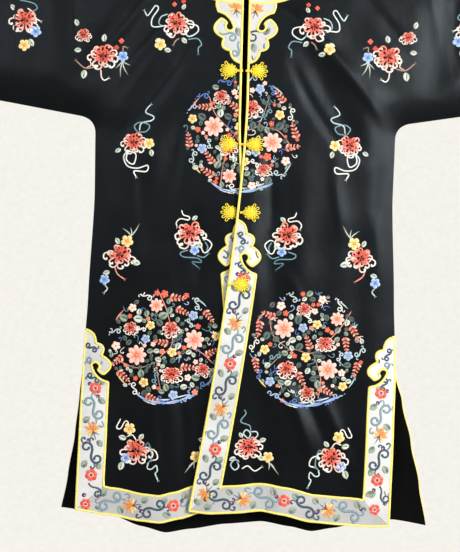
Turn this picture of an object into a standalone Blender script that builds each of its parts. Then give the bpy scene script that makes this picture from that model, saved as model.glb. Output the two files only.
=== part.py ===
"""An embroidered silk coat of the changshan family, hung on a straight rod hanger.

Metres, +Z up. The coat faces -Y and +X is the wearer's left. The origin is the inside of the
hook's crest, where the hanger hangs. Each piece of cloth is laid out flat as a pattern: x across
and s along the cloth, down from the ridge of the rod, positive in front and negative behind.
drape() then bends the pattern over the rod and lets it fall.
"""

from math import acos, ceil, cos, hypot, pi, sin

import bmesh
import bpy
import numpy as np
from mathutils import Vector
from mathutils.geometry import delaunay_2d_cdt

# Cloth and trim
WALL = 0.0016
SEAM = 0.0003
TRIM_LIFT = 0.0003
BORDER_TOP = 0.0014
PIPING_TOP = 0.0022
PIPING_WIDTH = 0.0044
BAND_WIDTH = 0.0560

# Hanger
ROD_RADIUS = 0.0100
ROD_LENGTH = 1.440
ROD_Z = -0.0900
ROD_CLEARANCE = 0.0008
WIRE_RADIUS = 0.0020
HOOK_RADIUS = 0.0200

# The coat's cut
SLEEVE_JOIN_X = 0.4650
CUFF_X = 0.6800
SLEEVE_DROP_IN = 0.3880
SLEEVE_DROP_SLOPE = -0.1650
UNDERARM_X = 0.3300
SLIT_TOP = 0.8940
NECK_HALF = 0.0750
NECK_FRONT = 0.0900
NECK_BACK = 0.0200
COLLAR_HALF = 0.1440
COLLAR_FRONT = 0.1580
COLLAR_BACK = 0.0900
COLLAR_POWER = 3.0

# Where the cloud heads of the trim have their tips, down from the ridge
LAPPET_TIP = 0.2780
FRONT_HEAD_TIP = 0.5880
SLIT_HEAD_TIP = 0.8150

# How the coat hangs
RIDGE_BLEND = 0.1000
EDGE_RUN = 0.0750
SLIT_PART = 0.0060
LAP_DEPTH = 0.0092
LAP_START = 0.4300
LAP_FULL = 0.5400
LAP_FADE = 0.0900

# Mesh spacing of the draped walls
GRID_X = 0.0400
GRID_S = 0.0520
CLEAR_OF_LINES = 0.0160
LINE_STEP = 0.0440

RIDGE_RADIUS = ROD_RADIUS + ROD_CLEARANCE + WALL
QUARTER = RIDGE_RADIUS * pi / 2.0
DROP_TO_S = QUARTER - RIDGE_RADIUS

# Side seam and front slit edge: drop, half width on the wearer's right, on the wearer's left
SIDE = (
    (0.424, 0.3000, 0.3030),
    (0.550, 0.2985, 0.3010),
    (0.750, 0.3065, 0.3090),
    (0.894, 0.3140, 0.3160),
    (1.000, 0.3160, 0.3130),
    (1.200, 0.3205, 0.3085),
)

# Back slit edge, the same columns
BACK_SIDE = (
    (0.424, 0.3000, 0.3030),
    (0.550, 0.2985, 0.3010),
    (0.750, 0.3065, 0.3090),
    (0.894, 0.3140, 0.3160),
    (0.950, 0.3200, 0.3310),
    (1.030, 0.3280, 0.3510),
    (1.110, 0.3400, 0.3690),
    (1.210, 0.3570, 0.3870),
)

# Hems: x, drop
FRONT_RIGHT_HEM = (
    (-0.330, 1.176),
    (-0.251, 1.186),
    (-0.190, 1.196),
    (-0.150, 1.199),
    (-0.110, 1.190),
    (-0.060, 1.174),
    (0.010, 1.166),
    (0.090, 1.162),
)
FRONT_LEFT_HEM = (
    (-0.100, 1.173),
    (-0.054, 1.177),
    (0.000, 1.174),
    (0.050, 1.169),
    (0.090, 1.175),
    (0.150, 1.189),
    (0.210, 1.194),
    (0.270, 1.197),
    (0.320, 1.194),
)
BACK_HEM = (
    (-0.370, 1.177),
    (-0.250, 1.193),
    (-0.190, 1.214),
    (-0.140, 1.226),
    (-0.090, 1.217),
    (-0.020, 1.205),
    (0.054, 1.198),
    (0.110, 1.207),
    (0.155, 1.216),
    (0.200, 1.208),
    (0.260, 1.193),
    (0.320, 1.188),
    (0.400, 1.197),
)

# Front edges: drop where the edge starts to swing, x above it, swing at the hem, power
LEFT_EDGE = {"start": 0.350, "x": 0.0020, "swing": -0.0920, "power": 1.5}
RIGHT_EDGE = {"start": 0.400, "x": -0.0085, "swing": 0.0850, "power": 1.3}
EDGE_SPAN = 0.8000

# How far the cloth stands off the middle plane: drop, front, back
STAND_OFF = (
    (0.050, 0.0125, 0.0125),
    (0.300, 0.0135, 0.0125),
    (0.600, 0.0140, 0.0130),
    (0.900, 0.0150, 0.0135),
    (1.220, 0.0175, 0.0150),
)

# Large soft folds: x and drop at each end, half width, height out of the cloth
FRONT_FOLDS = (
    (-0.200, 0.140, -0.350, 0.330, 0.024, -0.0045),
    (-0.130, 0.180, -0.290, 0.430, 0.026, 0.0045),
    (-0.090, 0.300, -0.170, 0.600, 0.030, -0.0040),
    (-0.215, 0.480, -0.220, 0.900, 0.034, 0.0040),
    (-0.150, 0.640, -0.150, 1.230, 0.036, 0.0060),
    (-0.225, 0.800, -0.235, 1.230, 0.032, -0.0050),
    (-0.085, 0.760, -0.080, 1.230, 0.028, -0.0040),
    (0.070, 0.150, 0.290, 0.370, 0.026, 0.0050),
    (0.110, 0.230, 0.250, 0.480, 0.026, -0.0045),
    (0.045, 0.480, 0.065, 0.860, 0.026, -0.0045),
    (0.115, 0.420, 0.120, 0.860, 0.032, 0.0045),
    (0.230, 0.470, 0.245, 0.900, 0.032, -0.0040),
    (0.055, 0.900, 0.050, 1.230, 0.032, -0.0060),
    (0.130, 0.820, 0.150, 1.230, 0.034, 0.0055),
    (0.215, 0.860, 0.220, 1.230, 0.030, -0.0040),
    (0.400, 0.060, 0.375, 0.340, 0.030, -0.0040),
    (-0.400, 0.050, -0.385, 0.330, 0.030, 0.0040),
    (0.560, 0.060, 0.540, 0.330, 0.034, 0.0040),
    (-0.560, 0.070, -0.555, 0.330, 0.034, -0.0040),
)
BACK_FOLDS = (
    (-0.090, 0.160, -0.290, 0.400, 0.028, 0.0045),
    (0.100, 0.150, 0.290, 0.410, 0.028, 0.0045),
    (0.000, 0.260, 0.010, 0.800, 0.040, -0.0040),
    (-0.150, 0.520, -0.160, 1.230, 0.036, 0.0055),
    (-0.060, 0.700, -0.040, 1.230, 0.034, -0.0045),
    (0.060, 0.640, 0.080, 1.230, 0.034, 0.0050),
    (0.170, 0.560, 0.190, 1.230, 0.036, -0.0045),
    (0.280, 0.860, 0.300, 1.230, 0.030, 0.0050),
    (-0.260, 0.800, -0.280, 1.230, 0.030, -0.0045),
    (0.470, 0.060, 0.450, 0.330, 0.036, -0.0040),
    (-0.480, 0.060, -0.450, 0.330, 0.036, 0.0040),
)

# A cloud head, from its tip on the trimmed edge to its shoulder on the band's inner side:
# distance in from the edge, distance along it, bulge of the arc that leads there, segments
CLOUD_HEAD = (
    (0.0260, 0.0250, 0.20, 3),
    (0.0400, 0.0500, 0.33, 4),
    (0.0450, 0.0920, 0.40, 6),
    (0.0310, 0.0830, 0.10, 2),
)
HOOK_EYE = {"r": 0.0265, "q": 0.0745, "radius": 0.0068, "first": 65.0, "last": -160.0, "segments": 6}
CLOUD_SHOULDER = (BAND_WIDTH, 0.1030, -0.17, 4)

# Toggle fastenings: drop, then x of the rosette and of the strap's end on each front
FROGS = (
    ("1", 0.2920, -0.0320, -0.0068, 0.0226, -0.0020),
    ("2", 0.4390, -0.0298, -0.0127, 0.0190, -0.0110),
    ("3", 0.5755, -0.0236, -0.0130, 0.0146, -0.0070),
    ("4", 0.7190, -0.0054, 0.0130, -0.0020, -0.0262),
)
FROG_PETALS = 5
FROG_RADIUS = 0.0130
FROG_LOOP = 0.0200
FROG_NOTCH = 0.0145
FROG_HEIGHT = 0.0034
STRAP_HALF = 0.0019
KNOT_RADIUS = 0.0030

COLOURS = {
    "satin": ((0.010, 0.012, 0.018), 0.32, 0.0),
    "white": ((0.800, 0.780, 0.720), 0.45, 0.0),
    "yellow": ((0.850, 0.680, 0.080), 0.42, 0.0),
    "wood": ((0.420, 0.240, 0.110), 0.50, 0.0),
    "steel": ((0.620, 0.620, 0.640), 0.28, 1.0),
}


def clear_scene():
    for obj in list(bpy.data.objects):
        bpy.data.objects.remove(obj, do_unlink=True)


def material(name, key):
    colour, roughness, metallic = COLOURS[key]
    made = bpy.data.materials.new(name)
    made.use_nodes = True
    shader = made.node_tree.nodes["Principled BSDF"]
    shader.inputs["Base Color"].default_value = (*colour, 1.0)
    shader.inputs["Roughness"].default_value = roughness
    shader.inputs["Metallic"].default_value = metallic
    made.diffuse_color = (*colour, 1.0)
    return made


def ease(t):
    t = min(max(t, 0.0), 1.0)
    return t * t * (3.0 - 2.0 * t)


def read_table(rows, at, column):
    """Smoothly read one column of a table whose first column rises."""
    if at <= rows[0][0]:
        return rows[0][column]
    for low, high in zip(rows, rows[1:]):
        if at <= high[0]:
            share = (at - low[0]) / (high[0] - low[0])
            return low[column] + (high[column] - low[column]) * (0.5 * share + 0.5 * ease(share))
    return rows[-1][column]


# The outline of the cut

def half_width(drop, side, rows=SIDE):
    return read_table(rows, drop, 2 if side > 0 else 1)


def sleeve_drop(x):
    """Drop of the sleeve's under seam at a distance x from the middle."""
    return SLEEVE_DROP_IN + SLEEVE_DROP_SLOPE * (x - UNDERARM_X)


def underarm(side, count=5):
    """The rounded corner from the sleeve's under seam down to the side seam."""
    top = (UNDERARM_X, SLEEVE_DROP_IN)
    low = (half_width(SIDE[0][0], side), SIDE[0][0])
    return arc(top, low, -0.20, count)


def front_edge_x(drop, side):
    edge = LEFT_EDGE if side > 0 else RIGHT_EDGE
    run = max(drop - edge["start"], 0.0) / EDGE_SPAN
    return edge["x"] + edge["swing"] * run ** edge["power"]


def arc(start, end, bulge, count):
    """Points after start on an arc to end that stands bulge chords out, to the right of the way."""
    (x0, y0), (x1, y1) = start, end
    dx, dy = x1 - x0, y1 - y0
    points = []
    for i in range(1, count + 1):
        t = i / count
        out = 4.0 * bulge * t * (1.0 - t)
        points.append((x0 + dx * t + dy * out, y0 + dy * t - dx * out))
    return points


def cloud_outline():
    """The cloud head in its own plane: r in from the edge, q along it from the tip."""
    points = [(0.0, 0.0)]
    for r, q, bulge, count in CLOUD_HEAD:
        points += arc(points[-1], (r, q), bulge, count)
    eye = HOOK_EYE
    for i in range(eye["segments"] + 1):
        a = eye["first"] + (eye["last"] - eye["first"]) * i / eye["segments"]
        a *= pi / 180.0
        points.append((eye["r"] + eye["radius"] * cos(a), eye["q"] + eye["radius"] * sin(a)))
    r, q, bulge, count = CLOUD_SHOULDER
    return points + arc(points[-1], (r, q), bulge, count)


def inset(points, width):
    """An open line moved to its right by width, with limited mitres."""
    moved = []
    for i, (x, y) in enumerate(points):
        normals = []
        for j in (i - 1, i):
            if 0 <= j < len(points) - 1:
                dx, dy = points[j + 1][0] - points[j][0], points[j + 1][1] - points[j][1]
                size = hypot(dx, dy)
                normals.append((-dy / size, dx / size))
        nx = sum(n[0] for n in normals) / len(normals)
        ny = sum(n[1] for n in normals) / len(normals)
        scale = width / max(nx * nx + ny * ny, 0.25)
        moved.append((x + nx * scale, y + ny * scale))
    return moved


def tidy_inset(points, width):
    """An inset line without the points that its sharp corners throw too near the line itself."""
    a, b = np.array(points[:-1]), np.array(points[1:])
    way = b - a
    kept = []
    for point in inset(points, width):
        here = np.array(point)
        t = np.clip(((here - a) * way).sum(axis=1) / (way * way).sum(axis=1), 0.0, 1.0)
        away = np.sqrt((((a + way * t[:, None]) - here) ** 2).sum(axis=1)).min()
        if away > 0.86 * width:
            kept.append(point)
    return kept


# The drape

def seam_line():
    """The sewn outline of the wearer's left half, as points in x and drop."""
    line = [(0.75, sleeve_drop(0.75)), (UNDERARM_X, SLEEVE_DROP_IN)]
    line += underarm(1, 6)
    line += [(half_width(d, 1), d) for d in np.linspace(0.46, SLIT_TOP, 8)]
    line += [(half_width(d, 1, BACK_SIDE), d) for d in np.linspace(SLIT_TOP + 0.03, 1.25, 7)]
    return np.array(line)


SEAM_LINE = seam_line()


def seam_distance(x, drop):
    """Distance from a point of the cloth to the sewn outline or slit edge beside it."""
    a, b = SEAM_LINE[:-1], SEAM_LINE[1:]
    way = b - a
    here = np.array((abs(x), drop))
    t = np.clip(((here - a) * way).sum(axis=1) / (way * way).sum(axis=1), 0.0, 1.0)
    return float(np.sqrt((((a + way * t[:, None]) - here) ** 2).sum(axis=1)).min())


def folds_at(x, drop, rows):
    height = 0.0
    for x0, d0, x1, d1, half, rise in rows:
        dx, dy = x1 - x0, d1 - d0
        length = hypot(dx, dy)
        t = ((x - x0) * dx + (drop - d0) * dy) / (length * length)
        if t < 0.0 or t > 1.0:
            continue
        across = ((x - x0) * dy - (drop - d0) * dx) / length
        height += rise * np.exp(-((across / half) ** 2)) * sin(pi * t) ** 0.8
    return float(height)


def lap_at(x, drop):
    """How far the wearer's left front stands out to pass over the right one."""
    down = ease((drop - LAP_START) / (LAP_FULL - LAP_START))
    covered = front_edge_x(drop, -1) + 0.012
    return LAP_DEPTH * down * ease((covered + LAP_FADE - x) / LAP_FADE)


def stand_off(x, run, front, over):
    """Distance from the middle plane to the outer face of the cloth."""
    drop = run - DROP_TO_S
    closed = WALL + SEAM / 2.0
    near = min(seam_distance(x, drop) / EDGE_RUN, 1.0)
    rise = 1.0 - (1.0 - near) ** 2
    full = read_table(STAND_OFF, drop, 1 if front else 2)
    parted = SLIT_PART * ease((drop - SLIT_TOP) / 0.14)
    folds = folds_at(x, drop, FRONT_FOLDS if front else BACK_FOLDS)
    hang = closed + parted + (full - closed - 0.5 * parted) * rise + folds * rise
    if over:
        hang += lap_at(x, drop)
    blend = ease((run - QUARTER) / RIDGE_BLEND)
    return RIDGE_RADIUS + (hang - RIDGE_RADIUS) * blend


def outer_face(x, s, over=False):
    """The draped place of a pattern point, on the cloth's outer face."""
    facing = -1.0 if s >= 0.0 else 1.0
    run = abs(s)
    if run < QUARTER:
        a = run / RIDGE_RADIUS
        return Vector((x, facing * RIDGE_RADIUS * sin(a), ROD_Z + RIDGE_RADIUS * cos(a)))
    off = stand_off(x, run, s >= 0.0, over)
    return Vector((x, facing * off, ROD_Z - (run - QUARTER)))


def drape(x, s, out, over=False):
    """The draped place of a pattern point, moved out of the cloth by out."""
    step = 0.0015
    way_x = outer_face(x + step, s, over) - outer_face(x - step, s, over)
    way_s = outer_face(x, s + step, over) - outer_face(x, s - step, over)
    normal = way_s.cross(way_x).normalized()
    return outer_face(x, s, over) + normal * out


# From pattern to closed walls

def inside(point, polygon):
    x, y = point
    hit = False
    for (x0, y0), (x1, y1) in zip(polygon, polygon[1:] + polygon[:1]):
        if (y0 > y) != (y1 > y) and x < x0 + (x1 - x0) * (y - y0) / (y1 - y0):
            hit = not hit
    return hit


def stepped(points, step=LINE_STEP):
    """The same line with no stretch longer than step."""
    line = [points[0]]
    for (x0, y0), (x1, y1) in zip(points, points[1:]):
        count = max(ceil(hypot(x1 - x0, y1 - y0) / step - 0.25), 1)
        for i in range(1, count + 1):
            line.append((x0 + (x1 - x0) * i / count, y0 + (y1 - y0) * i / count))
    return line


def triangulate(outline, lines):
    """Triangles of the outline, with every line among their edges and a grid between them."""
    points = []
    edges = []
    for line in [outline + outline[:1]] + lines:
        first = len(points)
        points += line
        edges += [(first + i, first + i + 1) for i in range(len(line) - 1)]
    fixed = np.array(points)
    low, high = fixed.min(axis=0), fixed.max(axis=0)
    rows = int(ceil((high[1] - low[1]) / GRID_S))
    columns = int(ceil((high[0] - low[0]) / GRID_X))
    for j in range(1, rows):
        for i in range(1, columns + 1):
            x = low[0] + (i - 0.5 * (j % 2)) * (high[0] - low[0]) / columns
            y = low[1] + j * (high[1] - low[1]) / rows
            if inside((x, y), outline) and clear_of(fixed, edges, x, y):
                points.append((x, y))
    made = delaunay_2d_cdt([Vector(p) for p in points], edges, [], 0, 1e-6, False)
    vertices = [(v.x, v.y) for v in made[0]]
    triangles = []
    for face in made[2]:
        corners = [vertices[i] for i in face]
        if inside(middle(corners), outline):
            triangles.append(corners)
    return triangles


def clear_of(fixed, edges, x, y):
    a = fixed[[e[0] for e in edges]]
    way = fixed[[e[1] for e in edges]] - a
    here = np.array((x, y))
    t = np.clip(((here - a) * way).sum(axis=1) / np.maximum((way * way).sum(axis=1), 1e-12), 0, 1)
    return (((a + way * t[:, None]) - here) ** 2).sum(axis=1).min() > CLEAR_OF_LINES**2


def middle(corners):
    return (sum(p[0] for p in corners) / len(corners), sum(p[1] for p in corners) / len(corners))


def key(point):
    return (round(point[0], 6), round(point[1], 6))


def drawn_in(places, faces):
    """Boundary points moved into the piece by half a seam."""
    boundary = {}
    for face in faces:
        for a, b in zip(face, face[1:] + face[:1]):
            if (b, a) in boundary:
                del boundary[(b, a)]
            else:
                boundary[(a, b)] = True
    pushes = {}
    for a, b in boundary:
        dx, dy = places[b][0] - places[a][0], places[b][1] - places[a][1]
        size = hypot(dx, dy)
        for i in (a, b):
            pushes.setdefault(i, []).append((-dy / size, dx / size))
    moved = list(places)
    for i, normals in pushes.items():
        nx = sum(n[0] for n in normals) / len(normals)
        ny = sum(n[1] for n in normals) / len(normals)
        scale = SEAM / 2.0 / max(nx * nx + ny * ny, 0.2)
        moved[i] = (places[i][0] + nx * scale, places[i][1] + ny * scale)
    return moved, list(boundary)


def wall(name, triangles, low, high, colour, over=False):
    """One closed solid: the triangles draped at two heights, with a rim round them."""
    index = {}
    places = []
    faces = []
    for corners in triangles:
        (x0, y0), (x1, y1), (x2, y2) = corners
        if (x1 - x0) * (y2 - y0) - (x2 - x0) * (y1 - y0) < 0.0:
            corners = corners[::-1]
        face = []
        for point in corners:
            if key(point) not in index:
                index[key(point)] = len(places)
                places.append(point)
            face.append(index[key(point)])
        if len(set(face)) == 3:
            faces.append(tuple(face))
    places, rim = drawn_in(places, faces)
    count = len(places)
    points = [drape(x, s, high, over) for x, s in places]
    points += [drape(x, s, low, over) for x, s in places]
    made = list(faces)
    made += [tuple(i + count for i in reversed(face)) for face in faces]
    made += [(b, a, a + count, b + count) for a, b in rim]
    return finish(name, points, made, colour)


def finish(name, points, faces, colour, smooth_angle=0.7):
    mesh = bpy.data.meshes.new(name)
    mesh.from_pydata([tuple(p) for p in points], [], faces)
    shape = bmesh.new()
    shape.from_mesh(mesh)
    bmesh.ops.triangulate(shape, faces=shape.faces)
    bmesh.ops.recalc_face_normals(shape, faces=shape.faces)
    shape.to_mesh(mesh)
    shape.free()
    mesh.shade_smooth()
    mesh.set_sharp_from_angle(angle=smooth_angle)
    mesh.materials.append(material(name, colour))
    obj = bpy.data.objects.new(name, mesh)
    bpy.context.scene.collection.objects.link(obj)
    return obj


# The pattern of a front

def front_stations(side):
    """The trimmed edge of a front: down the opening, along the hem, up the slit, with a name each."""
    hem_rows = FRONT_LEFT_HEM if side > 0 else FRONT_RIGHT_HEM
    neck_x = front_edge_x(0.0, side)
    neck = NECK_FRONT * (1.0 - (neck_x / NECK_HALF) ** 2) ** 0.5
    inner_x = front_edge_x(1.18, side)
    foot = read_table(hem_rows, inner_x, 1)
    drops = split(neck, LAPPET_TIP) + split(LAPPET_TIP, FRONT_HEAD_TIP) + split(FRONT_HEAD_TIP, foot)
    edge = [(front_edge_x(d, side), d) for d in drops] + [(front_edge_x(foot, side), foot)]
    outer_x = side * half_width(1.19, side)
    outer = read_table(hem_rows, outer_x, 1)
    across = split(edge[-1][0], outer_x)[1:]
    hem = [(x, read_table(hem_rows, x, 1)) for x in across] + [(outer_x, outer)]
    up = split(outer, SLIT_TOP)[1:] + split(SLIT_TOP, SLIT_HEAD_TIP) + [SLIT_HEAD_TIP]
    slit = [(side * half_width(d, side), d) for d in up]
    path = edge + hem + slit
    corners = (len(edge) - 1, len(edge) + len(hem) - 1)
    return [(x, d + DROP_TO_S) for x, d in path], corners


def split(start, end, step=LINE_STEP):
    count = max(ceil(abs(end - start) / step), 1)
    return [start + (end - start) * i / count for i in range(count)]


def along(path, distance):
    """Place and direction at a distance along a path."""
    for (x0, y0), (x1, y1) in zip(path, path[1:]):
        size = hypot(x1 - x0, y1 - y0)
        if distance <= size or (x1, y1) == path[-1]:
            t = distance / size
            return (x0 + (x1 - x0) * t, y0 + (y1 - y0) * t), ((x1 - x0) / size, (y1 - y0) / size)
        distance -= size
    return path[-1], (0.0, 1.0)


def on_edge(points, path, turn):
    """Points in r and q laid against a path that starts at the head's tip."""
    placed = []
    for r, q in points:
        (x, y), (dx, dy) = along(path, max(q, 0.0))
        placed.append((x - dy * turn * r, y + dx * turn * r))
    return placed


def mitred(path, width, turn):
    """The path moved in by width, mitred at its corners."""
    return inset(path, width * turn)


def front_pattern(side):
    """The outline of a front, the lines of its trim, and the test that names each trim cell."""
    path, (foot, heel) = front_stations(side)
    turn = -1.0 * side
    tip = next(i for i, (x, s) in enumerate(path) if abs(s - FRONT_HEAD_TIP - DROP_TO_S) < 1e-6)
    lappet = next(i for i, (x, s) in enumerate(path) if abs(s - LAPPET_TIP - DROP_TO_S) < 1e-6)
    head = cloud_outline()
    shoulder = head[-1][1]

    def band_line(width, start, end):
        """The band's line at a width in, between the two heads' shoulders."""
        edge = path[tip:]
        line = mitred(edge, width, turn)
        run = [0.0]
        for a, b in zip(edge, edge[1:]):
            run.append(run[-1] + hypot(b[0] - a[0], b[1] - a[1]))
        corners = (foot - tip, heel - tip)
        kept = []
        for i, point in enumerate(line):
            past_heads = start + 0.012 < run[i] < run[-1] - end - 0.012
            turning = min(abs(run[i] - run[c]) for c in corners) < width * 1.25
            if past_heads and (i in corners or not turning):
                kept.append(point)
        return kept

    inner_head = tidy_inset(head, PIPING_WIDTH)
    inner_head[0] = (PIPING_WIDTH * 0.5, PIPING_WIDTH * 1.2)
    inner_head[-1] = (BAND_WIDTH - PIPING_WIDTH, shoulder + PIPING_WIDTH)
    back_path = path[::-1]
    lines = []
    for width, outline in ((BAND_WIDTH, head), (BAND_WIDTH - PIPING_WIDTH, inner_head)):
        start = on_edge(outline, path[tip:], turn)
        end = on_edge(outline, back_path, -turn)
        middle_part = band_line(width, shoulder, shoulder)
        lines.append(start + middle_part + end[::-1])
    band_out, band_in = lines
    edge_in = mitred(path, PIPING_WIDTH, turn)

    up = path[: lappet + 1][::-1]
    reach = 0.145
    lappet_lines = []
    for width, outline in ((BAND_WIDTH, head), (BAND_WIDTH - PIPING_WIDTH, inner_head)):
        tall = outline[:-1] + [(width, outline[-1][1] + 0.010), (width, reach)]
        lappet_lines.append(stepped(on_edge(tall, up, -turn)))
    lappet_out, lappet_in = lappet_lines

    ridge = [(side * x, 0.0) for x in ridge_stations()]
    sleeve_low = sleeve_drop(SLEEVE_JOIN_X) + DROP_TO_S
    sleeve = [(side * SLEEVE_JOIN_X, 0.0), (side * SLEEVE_JOIN_X, sleeve_low)]
    under = [(side * x, d + DROP_TO_S) for x, d in [(UNDERARM_X, SLEEVE_DROP_IN)] + underarm(side)]
    seam = [(side * half_width(d, side), d + DROP_TO_S) for d in split(SIDE[0][0], SLIT_HEAD_TIP)[1:]]
    neck = neck_curve(side, 0.0)
    sewn = under + seam
    low_seam = stepped([sleeve[1], under[0]])
    outline = path + sewn[::-1][:-1] + low_seam[::-1][:-1] + stepped(sleeve)[::-1]
    outline += ridge[::-1] + neck[1:-1][::-1]

    collar = [collar_curve(side, 0.0), collar_curve(side, PIPING_WIDTH)]
    neck_in = neck_curve(side, PIPING_WIDTH)
    mitres = [
        [path[foot], band_in[nearest(band_in, path[foot])], band_out[nearest(band_out, path[foot])]],
        [path[heel], band_in[nearest(band_in, path[heel])], band_out[nearest(band_out, path[heel])]],
    ]
    shapes = {
        "edge": path + edge_in[::-1],
        "neck": neck_area(side, PIPING_WIDTH),
        "collar_out": collar_area(side, 0.0),
        "collar_in": collar_area(side, PIPING_WIDTH),
        "lappet_out": lappet_out + [up[-1]] + up[::-1],
        "lappet_in": lappet_in + [up[-1]] + up[::-1],
        "band_out": band_out + path[tip:][::-1],
        "band_in": band_in + path[tip:][::-1],
        "foot": (path[foot], band_out[nearest(band_out, path[foot])]),
        "heel": (path[heel], band_out[nearest(band_out, path[heel])]),
    }
    lines = [edge_in, neck_in] + collar + lappet_lines + [band_out, band_in] + mitres
    lines += rod_lines(side * 0.060, side * (SLEEVE_JOIN_X + 0.004), 1.0)
    return outline, lines, shapes


def rod_lines(start, end, facing):
    """Lines along the rod that let the cloth bend round it."""
    lines = []
    for share in (0.33, 0.67, 1.0):
        s = facing * QUARTER * share
        lines.append(stepped([(start, s), (end, s)], 0.055))
    return lines


def nearest(line, point):
    """The mitre corner of a band line that belongs to a corner of the edge."""
    best, found = 9.0, 0
    for i, (x, y) in enumerate(line):
        away = hypot(x - point[0], y - point[1])
        if away < best:
            best, found = away, i
    return found


def ridge_stations():
    marks = [NECK_HALF, NECK_HALF + PIPING_WIDTH, 0.110, COLLAR_HALF - PIPING_WIDTH, COLLAR_HALF]
    count = 9
    rest = [COLLAR_HALF + (SLEEVE_JOIN_X - COLLAR_HALF) * i / count for i in range(1, count)]
    return marks + rest


def neck_curve(side, grow):
    """The neck edge of a front, grown outwards, from past the opening to the ridge."""
    a, b = NECK_HALF + grow, NECK_FRONT + DROP_TO_S + grow
    start = front_edge_x(0.0, side) * side
    if grow:
        start -= 0.004
    first = acos(min(max(start / a, -1.0), 1.0))
    return [(side * a * cos(first * (1 - i / 7)), b * sin(first * (1 - i / 7))) for i in range(8)]


def collar_point(angle, shrink, front):
    a = COLLAR_HALF - shrink
    b = (COLLAR_FRONT if front else COLLAR_BACK) + DROP_TO_S - shrink
    power = 2.0 / COLLAR_POWER
    return a * max(cos(angle), 0.0) ** power, b * max(sin(angle), 0.0) ** power


def collar_curve(side, shrink):
    """The lower edge of the wide collar on a front, from past the opening to the ridge."""
    b = COLLAR_FRONT + DROP_TO_S - shrink
    line = [(side * -0.016, b)]
    line += [(side * 0.020, b)]
    for degrees in (72, 60, 50, 42, 34, 26, 18, 9):
        x, s = collar_point(degrees * pi / 180.0, shrink, True)
        line.append((side * x, s))
    return line + [(side * (COLLAR_HALF - shrink), 0.0)]


def neck_area(side, grow):
    curve = neck_curve(side, grow)
    return curve + [(side * -0.03, -0.001), (side * -0.03, curve[0][1])]


def collar_area(side, shrink):
    curve = collar_curve(side, shrink)
    return curve + [(side * (COLLAR_HALF - shrink), -0.001), (side * -0.03, -0.001), (side * -0.03, curve[0][1])]


def beside(corner, point):
    """Which side of a mitre a point is on."""
    (x0, y0), (x1, y1) = corner
    return (x1 - x0) * (point[1] - y0) - (y1 - y0) * (point[0] - x0) > 0.0


def name_cell(point, shapes, side):
    """The trim piece that covers a cell of a front, or None on bare satin."""
    if inside(point, shapes["edge"]):
        return "edge_piping"
    if inside(point, shapes["neck"]):
        return "neck_piping"
    if inside(point, shapes["collar_out"]):
        return "collar" if inside(point, shapes["collar_in"]) else "collar_piping"
    if inside(point, shapes["lappet_out"]):
        return "lappet" if inside(point, shapes["lappet_in"]) else "lappet_piping"
    if inside(point, shapes["band_out"]):
        if not inside(point, shapes["band_in"]):
            return "border_piping"
        near_front = abs(point[0] - shapes["foot"][0][0]) < abs(point[0] - shapes["heel"][0][0])
        if near_front:
            return "front_border" if beside(shapes["foot"], point) != (side > 0) else "hem_border"
        return "slit_border" if beside(shapes["heel"], point) == (side > 0) else "hem_border"
    return None


def build_front(side, label, shared):
    over = side > 0
    outline, lines, shapes = front_pattern(side)
    cells = triangulate(outline, lines)
    wall("front_" + label, cells, -WALL, 0.0, "satin", over)
    pieces = {}
    for corners in cells:
        pieces.setdefault(name_cell(middle(corners), shapes, side), []).append(corners)
    pieces.pop(None, None)
    for name, found in pieces.items():
        if name in ("collar", "collar_piping", "neck_piping"):
            shared.setdefault(name, []).extend(found)
            continue
        piping = name.endswith("piping")
        top = PIPING_TOP if piping else BORDER_TOP
        wall(f"{name}_{label}", found, TRIM_LIFT, top, "yellow" if piping else "white", over)


# The pattern of the back

def back_neck_curve(grow):
    a, b = NECK_HALF + grow, NECK_BACK + DROP_TO_S + grow
    return [(a * cos(pi * i / 12), -b * sin(pi * i / 12)) for i in range(13)]


def back_collar_curve(shrink):
    line = []
    for degrees in (0, 9, 20, 32, 45, 58, 71, 81):
        x, s = collar_point(degrees * pi / 180.0, shrink, False)
        line.append((x, -s))
    line[0] = (COLLAR_HALF - shrink, 0.0)
    return line + [(-x, s) for x, s in reversed(line)]


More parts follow.
